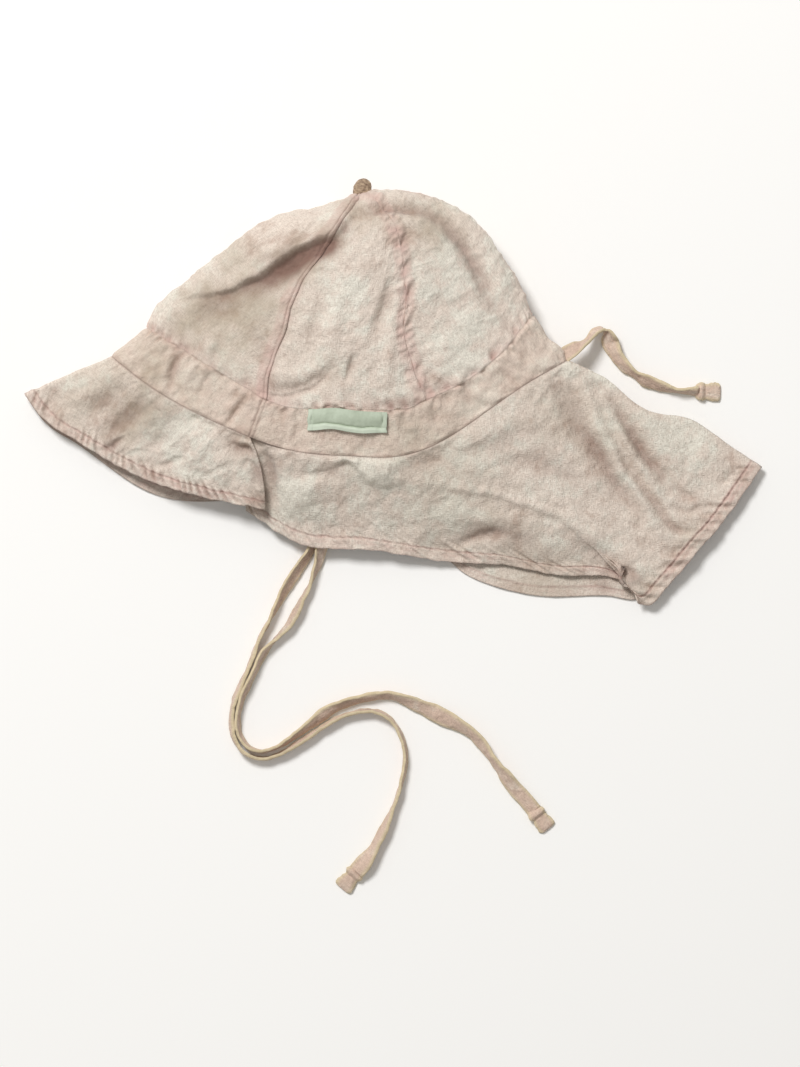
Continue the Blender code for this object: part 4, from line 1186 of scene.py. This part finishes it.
def hemmed(
    name, surface, angles, length, pitch, folds, steps, hem, rope, seed, grain, end_lift=0.0, droop=0.0
):
    """
    A sheet that hangs from the band, with a hem at its free edge. Hem is its width and rope the height of
    its twist in millimetres, grain the turn of the weave in degrees. An end lift raises the end of the
    piece in front of the label, and a droop lowers the hem near the back corner, both in metres.
    """
    shares = spaced(0, 1, length, pitch, zone=(hem + 1) * MM)
    angle, share = np.meshgrid(angles, shares, indexing="ij")
    points = surface(angle, share)
    edge = apart(points, points[:, -1:])
    along = np.repeat((lengths(points[:, -1]) / MM)[:, None], len(shares), 1)
    outward = points[:, -1:] - points[:, -3:-2]
    outward = outward / np.linalg.norm(outward, axis=-1, keepdims=True)
    waver = 0.5 * noise(along / 6.5, edge / 40, seed + 8) + 0.25 * noise(along / 3.3, edge / 40, seed + 9)
    waver = waver * (1 - bell((angle - CORNER) / 7))
    side = upper_side(angle)
    points = points + outward * (MM * waver * side * bell(edge / 6))[..., None]
    places = points[..., :2]
    top = apart(points, points[:, :1])
    firm = 1 + 0.9 * smooth_step(118, 130, angle) * side
    on_hem = smooth_step(hem + 0.5, hem - 0.3, edge)
    relief = firm * (0.6 * on_hem - 0.7 * bell((edge - hem + 0.6) / 0.5)) - 0.25 * bell(edge / 0.7)
    calm = 1 - 0.9 * bell((angle - 128) / 6)
    slant = along + 0.8 * edge
    pucker = noise(slant / 3.4, along / 30, seed) + 0.5 * noise(slant / 1.9, along / 20, seed + 1)
    relief = relief + 1.1 * firm * calm * pucker * bell((edge - hem * 0.85) / (hem * 0.8))
    swing = slant / 4.3 + 0.7 * noise(along / 12, 0.5, seed + 7)
    swell = 0.55 + 0.9 * noise(along / 22, 0.3, seed + 4)
    twist = rope * firm * calm * np.clip(swell, 0.15, 1) * np.sin(2 * np.pi * swing)
    twist = twist * bell((edge - hem * 0.6) / (hem * 0.6))
    relief = relief + twist
    gather = noise(angle / 3.0, top / 15, seed + 2) + 0.5 * noise(angle / 1.6, top / 9, seed + 6)
    relief = relief + 0.9 * gather * bell(top / 7)
    height = side * fold_height(folds, places, steps)
    relief = (relief * MM + wrinkles(places, 0.72, seed + 3)) * (0.35 + 0.65 * side) + height
    relief = relief * smooth_step(-0.3, 2.8, top) - 0.3 * MM * bell(top / 0.45)
    stitches = 0.5 + 0.5 * np.cos(2 * np.pi * along / 3.4)
    rows = bell((edge - hem + 0.6) / 0.8) + 0.6 * bell((edge - hem + 3.0) / 0.7)
    pink = 0.28 * on_hem + 0.6 * firm * rows
    pink = (pink + 0.2 * bell(top / 1.5)) * (0.75 + 0.5 * noise(along / 9, edge / 6, seed + 5))
    sewn = bell((edge - hem + 0.4 + 0.35 * noise(along / 2.3, 0.5, seed + 11)) / 0.45)
    # Painted shade along the free edge and the upper seam, in the stitch line, and in the hollows of the
    # twisted hem.
    ditch = 0.4 * bell(edge / 0.55) + 0.4 * bell(top / 0.45) + (0.2 + 0.35 * stitches) * firm * sewn
    ditch = ditch + 0.7 * side * np.clip(-twist, 0, 1)
    relief = relief - droop * smooth_step(88, 110, angle) * smooth_step(140, 126, angle) * bell(edge / 16)
    relief = relief + end_lift * smooth_step(PANEL - 22, PANEL - 2, angle) * smooth_step(0.0, 0.45, share)
    if end_lift:
        from_end = apart(points, points[-1:])
        relief = relief + 0.9 * MM * bell((from_end - 1.6) / 1.5) * smooth_step(0.02, 0.2, share)
    turn = math.radians(grain)
    x, y = in_mm(places)
    c, s = math.cos(turn), math.sin(turn)
    flat = np.stack([x * c + y * s, y * c - x * s], axis=-1)
    values = kept_values(places, height, pink, ditch)
    return sheet_mesh(name, points, relief, flat, values)


brim_angles = ring_angles(brim, -PANEL, PANEL, 0.7 * MM, 1.4 * MM)
brim_sheet = hemmed(
    "brim_cloth", brim, brim_angles, length=1.05 * BRIM_WIDTH, pitch=0.75 * MM, folds=BRIM_FOLDS, steps=(),
    hem=5.4, rope=1.25, seed=61, grain=-28, end_lift=1.8 * MM,
)
flap_angles = ring_angles(flap, PANEL, 360 - PANEL, 1.0 * MM, 3.0 * MM)
flap_sheet = hemmed(
    "flap_cloth", flap, flap_angles, length=0.9 * FLAP_LENGTH, pitch=1.0 * MM, folds=FLAP_FOLDS,
    steps=FLAP_STEPS, hem=6.3, rope=0.25, seed=71, grain=8, droop=4.5 * MM,
)
print("brim", len(brim_sheet.data.polygons), "flap", len(flap_sheet.data.polygons), "faces")

# %% [markdown]
# ## Label
#
# The label is a short piece of woven ribbon with both ends folded under and stitched. It is bare. Its
# lower edge is turned up in a narrow, wavy lip, and it bows a little away from the band between its ends,
# so it throws a thin shadow.

# %% Label
LABEL_CORNERS = [(309, 410), (387, 413), (387, 433), (308, 431)]     # picture units, from the upper left
LABEL_CLOTH = (37, 11)          # millimetres of its cloth map
LABEL_THICKNESS = 0.8 * MM


def resting_height(sheet, plan):
    """Height of the upper skin of a sheet below a coarse grid of places, read as a smooth cover over it."""
    skin = np.empty(3 * len(sheet.data.vertices))
    sheet.data.vertices.foreach_get("co", skin)
    skin = skin.reshape(-1, 3)
    low, high = plan.min(axis=(0, 1)) - 3 * MM, plan.max(axis=(0, 1)) + 3 * MM
    skin = skin[np.all((skin[:, :2] > low) & (skin[:, :2] < high), axis=1) & (skin[:, 2] > LOFT / 2)]
    heights = np.empty(plan.shape[:2])
    for place in np.ndindex(heights.shape):
        near = np.hypot(*(skin[:, :2] - plan[place]).T) < 2.2 * MM
        heights[place] = skin[near, 2].max()
    return heights


def label_sheet():
    corners = from_picture(LABEL_CORNERS)

    def plan_of(u, v):
        upper = corners[0] + u[..., None] * (corners[1] - corners[0])
        lower = corners[3] + u[..., None] * (corners[2] - corners[3])
        return upper + v[..., None] * (lower - upper)

    coarse_u, coarse_v = np.linspace(0, 1, 10), np.linspace(0, 1, 4)
    cover = resting_height(hat_band, plan_of(*np.meshgrid(coarse_u, coarse_v, indexing="ij")))
    u, v = np.linspace(0, 1, 110), np.linspace(0, 1, 40)
    across = np.stack([spline(coarse_u, column, u) for column in cover.T], axis=1)
    rest = np.stack([spline(coarse_v, row, v) for row in across])
    uu, vv = np.meshgrid(u, v, indexing="ij")
    plan = plan_of(uu, vv)
    plan[..., 1] += MM * (1.1 * bell((uu - 0.34) / 0.2) * (1 - vv) + 1.0 * bell((uu - 0.3) / 0.16) * vv)
    plan[..., 1] -= 0.7 * MM * bell((uu - 0.7) / 0.18) * vv
    plan[..., 0] += 0.35 * MM * noise(vv * 3.1, np.round(uu), 82) * np.abs(2 * uu - 1) ** 6
    bow = 0.7 * np.sin(np.pi * uu) ** 0.7 * np.sin(np.pi * np.clip(vv * 0.75 + 0.2, 0, 1))
    fold = 0.78 + 0.05 * noise(uu * 2.6, 0.5, 84) + 0.03 * noise(uu * 7, 0.5, 85)
    lip = 0.9 * smooth_step(-0.04, 0.1, vv - fold) - 0.5 * bell((vv - fold + 0.05) / 0.05)
    lip = lip * np.sin(np.pi * uu) ** 0.5
    ends = smooth_step(0.07, 0.05, uu) + smooth_step(0.93, 0.95, uu)
    stitched = 0.9 * bell((uu - 0.05) / 0.014) * bell((vv - 0.45) / 0.2)
    stitched = stitched + 0.9 * bell((uu - 0.95) / 0.014) * bell((vv - 0.4) / 0.2)
    ripple = 0.30 * noise(uu * 6, vv * 1.3, 81) + 0.12 * noise(uu * 17, vv * 2.5, 83)
    height = rest + (0.35 + bow + lip + 0.3 * ends + ripple - stitched) * MM
    points = np.concatenate([plan, height[..., None]], axis=-1)
    # Edge marks the folded ends and the lip; the ribbon's material paints them paler, as a painted highlight.
    edge = np.maximum(0.5 * ends, smooth_step(0.0, 0.08, vv - fold))
    flat = np.stack([uu * LABEL_CLOTH[0], vv * LABEL_CLOTH[1]], axis=-1)
    relief = np.zeros(uu.shape)
    return sheet_mesh("ribbon_label", points, relief, flat, {"edge": edge}, thickness=LABEL_THICKNESS)


ribbon_label = label_sheet()

# %% [markdown]
# ## Stem
#
# The stem is a strip of linen rolled tight and sewn into the top of the crown. It starts as a short
# cylinder. Its end is inset and pushed in, so that the roll shows, and a subdivision rounds it.

# %% Stem
STEM_RADIUS = 4.1 * MM
STEM_ROOT = 6.0 * MM        # how far the roll goes on into the crown
STEM_INSETS = [(0.7, 0.4), (1.5, 0.35), (0.5, -0.5), (0.7, 0.4)]     # width and rise of each, in millimetres


def rolled_stem():
    low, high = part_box("top_stem")
    centre = (np.array(low) + np.array(high)) / 2
    length = high[1] - low[1] + STEM_ROOT
    bpy.ops.object.select_all(action="DESELECT")
    bpy.ops.mesh.primitive_cylinder_add(vertices=20, radius=STEM_RADIUS, depth=length, location=(0, 0, 0))
    stem = bpy.context.object
    stem.name = "rolled_stem"
    stem.data.polygons.foreach_set("select", [face.normal.z > 0.9 for face in stem.data.polygons])
    bpy.ops.object.mode_set(mode="EDIT")
    bpy.ops.mesh.select_mode(type="FACE")
    for thickness, depth in STEM_INSETS:
        bpy.ops.mesh.inset(thickness=thickness * MM, depth=depth * MM)
    bpy.ops.object.mode_set(mode="OBJECT")
    stem.data.polygons.foreach_set("select", [face.normal.z < -0.9 for face in stem.data.polygons])
    bpy.ops.object.mode_set(mode="EDIT")
    bpy.ops.transform.resize(value=(0.96, 0.8, 1), center_override=(0, 0, 0))
    bpy.ops.object.mode_set(mode="OBJECT")
    rounded = stem.modifiers.new("rounded", "SUBSURF")
    rounded.levels = rounded.render_levels = 3
    bpy.ops.object.modifier_apply(modifier="rounded")
    place = np.empty(3 * len(stem.data.vertices))
    stem.data.vertices.foreach_get("co", place)
    place = place.reshape(-1, 3)
    x, y, z = place.T / MM
    turn = np.arctan2(y, x)
    swell = 1 + 0.07 * noise(turn * 1.2, z / 3, 91) + 0.05 * noise(turn * 3 + z / 2, z / 1.5, 92)
    crease = 1 - 0.13 * bell((x - 1.4 - 0.15 * z) / 0.8) * smooth_step(-3, 1, z)
    lean = 0.08 * z - 0.7
    upward = z - 3.1 + 0.3 * noise(x / 2, y / 2, 93)
    place = np.stack([x * swell + lean + 0.4, upward, -y * swell * crease], axis=1)
    stem.data.vertices.foreach_set("co", (place * MM + centre).ravel())
    bpy.ops.object.shade_smooth()
    return stem


rolled = rolled_stem()
print("stem", len(rolled.data.polygons), "faces")

# %% [markdown]
# ## Materials
#
# Linen is flax yarn, spun unevenly. Woven plain, its threads show as short thick and thin dashes that
# run both ways, and the surface is matt with a faint bloom of loose fibres. The real threads lie
# 0.6 mm apart, about one picture unit. Noise half a millimetre wide and two long stands for them, once
# each way.

# %% Linen
# Noise stretched to a size in millimetres: name, across, along, and detail
FIELDS = [
    ("warp", 0.5, 1.9, 2.0), ("weft", 1.9, 0.5, 2.0), ("cloud", 13.0, 16.0, 3.0), ("mottle", 4.2, 5.2, 3.0),
    ("crinkle", 2.3, 3.6, 2.0), ("slub", 0.9, 9.0, 1.0),
]
# How far each of them, and the paleness kept on the sheet, pulls the cloth to its palest colour. The kept
# paleness is the dye, with painted light on fold ridges and painted shade in fold valleys.
PULLS = [("cloud", 0.95), ("mottle", 0.9), ("slub", 0.35), ("pale", 0.42)]
# Tints that the sheets share: the kept value, its colour and its strength. The first is partly the
# linen's sandy tone and partly painted shade; the other two are painted shade in creases and ditches.
TINTS = [("sand_and_shade", "#a69982", 0.55), ("crease_shade", "#826156", 0.85), ("ditch", "#80645a", 0.85)]


def linen(name, palest, middle, dusky, layered, edge_highlight=None):
    """Plain-woven linen. It reads the cloth map in millimetres, and the values kept on the sheets."""
    made, tree, shader = new_material(name, {
        "Roughness": 0.86, "Specular IOR Level": 0.25, "Sheen Weight": 0.15, "Sheen Roughness": 0.5,
    })
    cloth = add_node(tree, "ShaderNodeUVMap", uv_map="cloth").outputs["UV"]
    read = {}
    for seed, (key, across, along, detail) in enumerate(FIELDS):
        scale = {"Scale": (1 / across, 1 / along, 1), "Location": (3 + 5 * seed, 8 * seed, 0)}
        place = add_node(tree, "ShaderNodeMapping", scale, {"Vector": cloth}).outputs[0]
        grain = {"Scale": 1.0, "Detail": detail, "Roughness": 0.55}
        read[key] = add_node(tree, "ShaderNodeTexNoise", grain, {"Vector": place}).outputs["Fac"]
    for key in ("edge",) if edge_highlight else ("pale", "pink", "sand_and_shade", "crease_shade", "ditch"):
        read[key] = add_node(tree, "ShaderNodeAttribute", attribute_name=key).outputs["Fac"]

    paleness = None
    for key, pull in PULLS:
        if key in read:
            values = {1: pull, 2: 0.5 - sum(p for k, p in PULLS if k != "pale") / 2}
            links = {0: read[key], 2: paleness} if paleness else {0: read[key]}
            paleness = add_node(tree, "ShaderNodeMath", values, links, operation="MULTIPLY_ADD").outputs[0]
    dyed = add_node(tree, "ShaderNodeValToRGB", None, {"Fac": paleness})
    ramp = dyed.color_ramp
    ramp.interpolation = "EASE"
    ramp.elements[0].color = linear(dusky)
    ramp.elements[1].color = linear(palest)
    ramp.elements.new(0.5).color = linear(middle)
    ground = dyed.outputs["Color"]

    # Threads stand over dark gaps. The gaps, and the values kept on the sheet, each tint the ground.
    # Of those values, the sandy one is partly painted shade, and the crease and ditch values are painted
    # shade.
    links = {0: read["warp"], 1: read["weft"]}
    yarn = add_node(tree, "ShaderNodeMath", None, links, operation="MAXIMUM").outputs[0]
    gaps = {"From Min": 0.66, "From Max": 0.42, "To Max": 0.36}
    read["gaps"] = add_node(tree, "ShaderNodeMapRange", gaps, {"Value": yarn}).outputs[0]
    tints = [("gaps", "#86705f", 1.0)]
    # On the ties, the strip's edges are tinted light khaki: a painted highlight where the edges catch the
    # light.
    if edge_highlight:
        rim = {"From Min": 0.5, "From Max": 1.0, "To Max": 0.75}
        read["rim"] = add_node(tree, "ShaderNodeMapRange", rim, {"Value": read["edge"]}).outputs[0]
        tints.append(("rim", edge_highlight, 1.0))
    else:
        tints += [("pink", layered, 0.85), *TINTS]
    for key, colour, strength in tints:
        links = {0: read[key]}
        amount = add_node(tree, "ShaderNodeMath", {1: strength}, links, operation="MULTIPLY").outputs[0]
        values, links = {7: linear(colour)}, {0: amount, 6: ground}
        mixed = add_node(tree, "ShaderNodeMix", values, links, data_type="RGBA", clamp_factor=True)
        ground = mixed.outputs[2]
    tree.links.new(ground, shader.inputs["Base Color"])

    links = {0: yarn, 2: read["crinkle"]}
    relief = add_node(tree, "ShaderNodeMath", {1: 0.9}, links, operation="MULTIPLY_ADD").outputs[0]
    depth = {"Strength": 1.0, "Distance": 0.0007}
    bump = add_node(tree, "ShaderNodeBump", depth, {"Height": relief}).outputs[0]
    tree.links.new(bump, shader.inputs["Normal"])
    return made


crinkled_linen = linen("garment_washed_linen", "#f4efe2", "#eee0d3", "#d1bcae", "#d6b7ad")
band_linen = linen("layered_band_linen", "#f2eadb", "#e9dacb", "#cbb6a6", "#d4b8ac")
tie_linen = linen("folded_tie_linen", "#f2e4d4", "#e0c6b4", "#b99b8b", "#b89c8e", edge_highlight="#d6c8a2")
print("linens", [material.name for material in (crinkled_linen, band_linen, tie_linen)])

# %% [markdown]
# The stem is the same yarn, rolled and a little darker. It carries no cloth map, so its
# threads wind round it on Object coordinates.

# %% Rolled yarn
rolled_linen, tree, shader = new_material("rolled_linen_yarn", {"Roughness": 0.9, "Specular IOR Level": 0.2})
place = add_node(tree, "ShaderNodeTexCoord").outputs["Object"]
place = add_node(tree, "ShaderNodeMapping", {"Scale": (700, 1100, 700)}, {"Vector": place}).outputs[0]
wound = add_node(tree, "ShaderNodeTexNoise", {"Scale": 1.0, "Detail": 3.0}, {"Vector": place}).outputs["Fac"]
tone = add_node(tree, "ShaderNodeValToRGB", None, {"Fac": wound})
tone.color_ramp.elements[0].position = 0.3
tone.color_ramp.elements[0].color = linear("#7a6555")
tone.color_ramp.elements[1].position = 0.7
tone.color_ramp.elements[1].color = linear("#bfa88e")
tree.links.new(tone.outputs["Color"], shader.inputs["Base Color"])
bump = add_node(tree, "ShaderNodeBump", {"Strength": 0.8, "Distance": 0.0004}, {"Height": wound})
tree.links.new(bump.outputs[0], shader.inputs["Normal"])

# %% [markdown]
# The label is a polyester satin ribbon in pale mint: finer, smoother and a little glossier than the
# linen, with ribs 0.6 mm apart across it. Its folded ends and lower lip are drawn paler, a painted
# highlight where they catch the light.

# %% Satin ribbon
satin = {"Roughness": 0.55, "Specular IOR Level": 0.4}
mint_ribbon, tree, shader = new_material("mint_satin_ribbon", satin)
cloth = add_node(tree, "ShaderNodeUVMap", uv_map="cloth").outputs["UV"]
wave = {"Scale": 0.52, "Distortion": 0.6, "Detail": 1.0}
ribs = add_node(tree, "ShaderNodeTexWave", wave, {"Vector": cloth}, bands_direction="Y").outputs["Fac"]
grain = add_node(tree, "ShaderNodeTexNoise", {"Scale": 0.9, "Detail": 3.0}, {"Vector": cloth}).outputs["Fac"]
edge = add_node(tree, "ShaderNodeAttribute", attribute_name="edge").outputs["Fac"]
greens = {6: linear("#acb6a1"), 7: linear("#bfcab6")}
tone = add_node(tree, "ShaderNodeMix", greens, {0: grain}, data_type="RGBA").outputs[2]
# Painted highlight: the folded ends and the lower lip are drawn paler.
rim = {7: linear("#ccd6c3")}
tone = add_node(tree, "ShaderNodeMix", rim, {0: edge, 6: tone}, data_type="RGBA").outputs[2]
tree.links.new(tone, shader.inputs["Base Color"])
height = add_node(tree, "ShaderNodeMath", {1: 0.5}, {0: ribs, 2: grain}, operation="MULTIPLY_ADD").outputs[0]
bump = add_node(tree, "ShaderNodeBump", {"Strength": 0.35, "Distance": 0.0002}, {"Height": height})
tree.links.new(bump.outputs[0], shader.inputs["Normal"])

# %% [markdown]
# ## Put together
#
# Every piece replaces its plain solid and rides on the one rigid body.

# %% Assign, ride and replace
# Piece, its material and that material's slot, and the solid that it replaces
outfit = [
    (near_tie, tie_linen, "tie_linen", "chin_tie_near"),
    (near_knot, tie_linen, "tie_linen", "chin_knot_near"),
    (far_tie, tie_linen, "tie_linen", "chin_tie_far"),
    (far_knot, tie_linen, "tie_linen", "chin_knot_far"),
    (back_tie, tie_linen, "tie_linen", "back_tie"),
    (back_knot, tie_linen, "tie_linen", "back_knot"),
    (hat_band, band_linen, "band_linen", "band"),
    (brim_sheet, crinkled_linen, "crinkled_linen", "brim"),
    (flap_sheet, crinkled_linen, "crinkled_linen", "neck_flap"),
    (ribbon_label, mint_ribbon, "woven_label", "label"),
    (rolled, rolled_linen, "rolled_linen", "top_stem"),
]
outfit += [(gore, crinkled_linen, "crinkled_linen", f"crown_panel_{k + 1}") for k, gore in enumerate(gores)]
for piece, finish, slot, node in outfit:
    piece.data.materials.clear()
    piece.data.materials.append(finish)
    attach(piece, "root")
    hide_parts(node)
print(len(outfit), "pieces")

on_what = {gore.name: [] for gore in gores}
on_what[hat_band.name] = [gore.name for gore in gores]
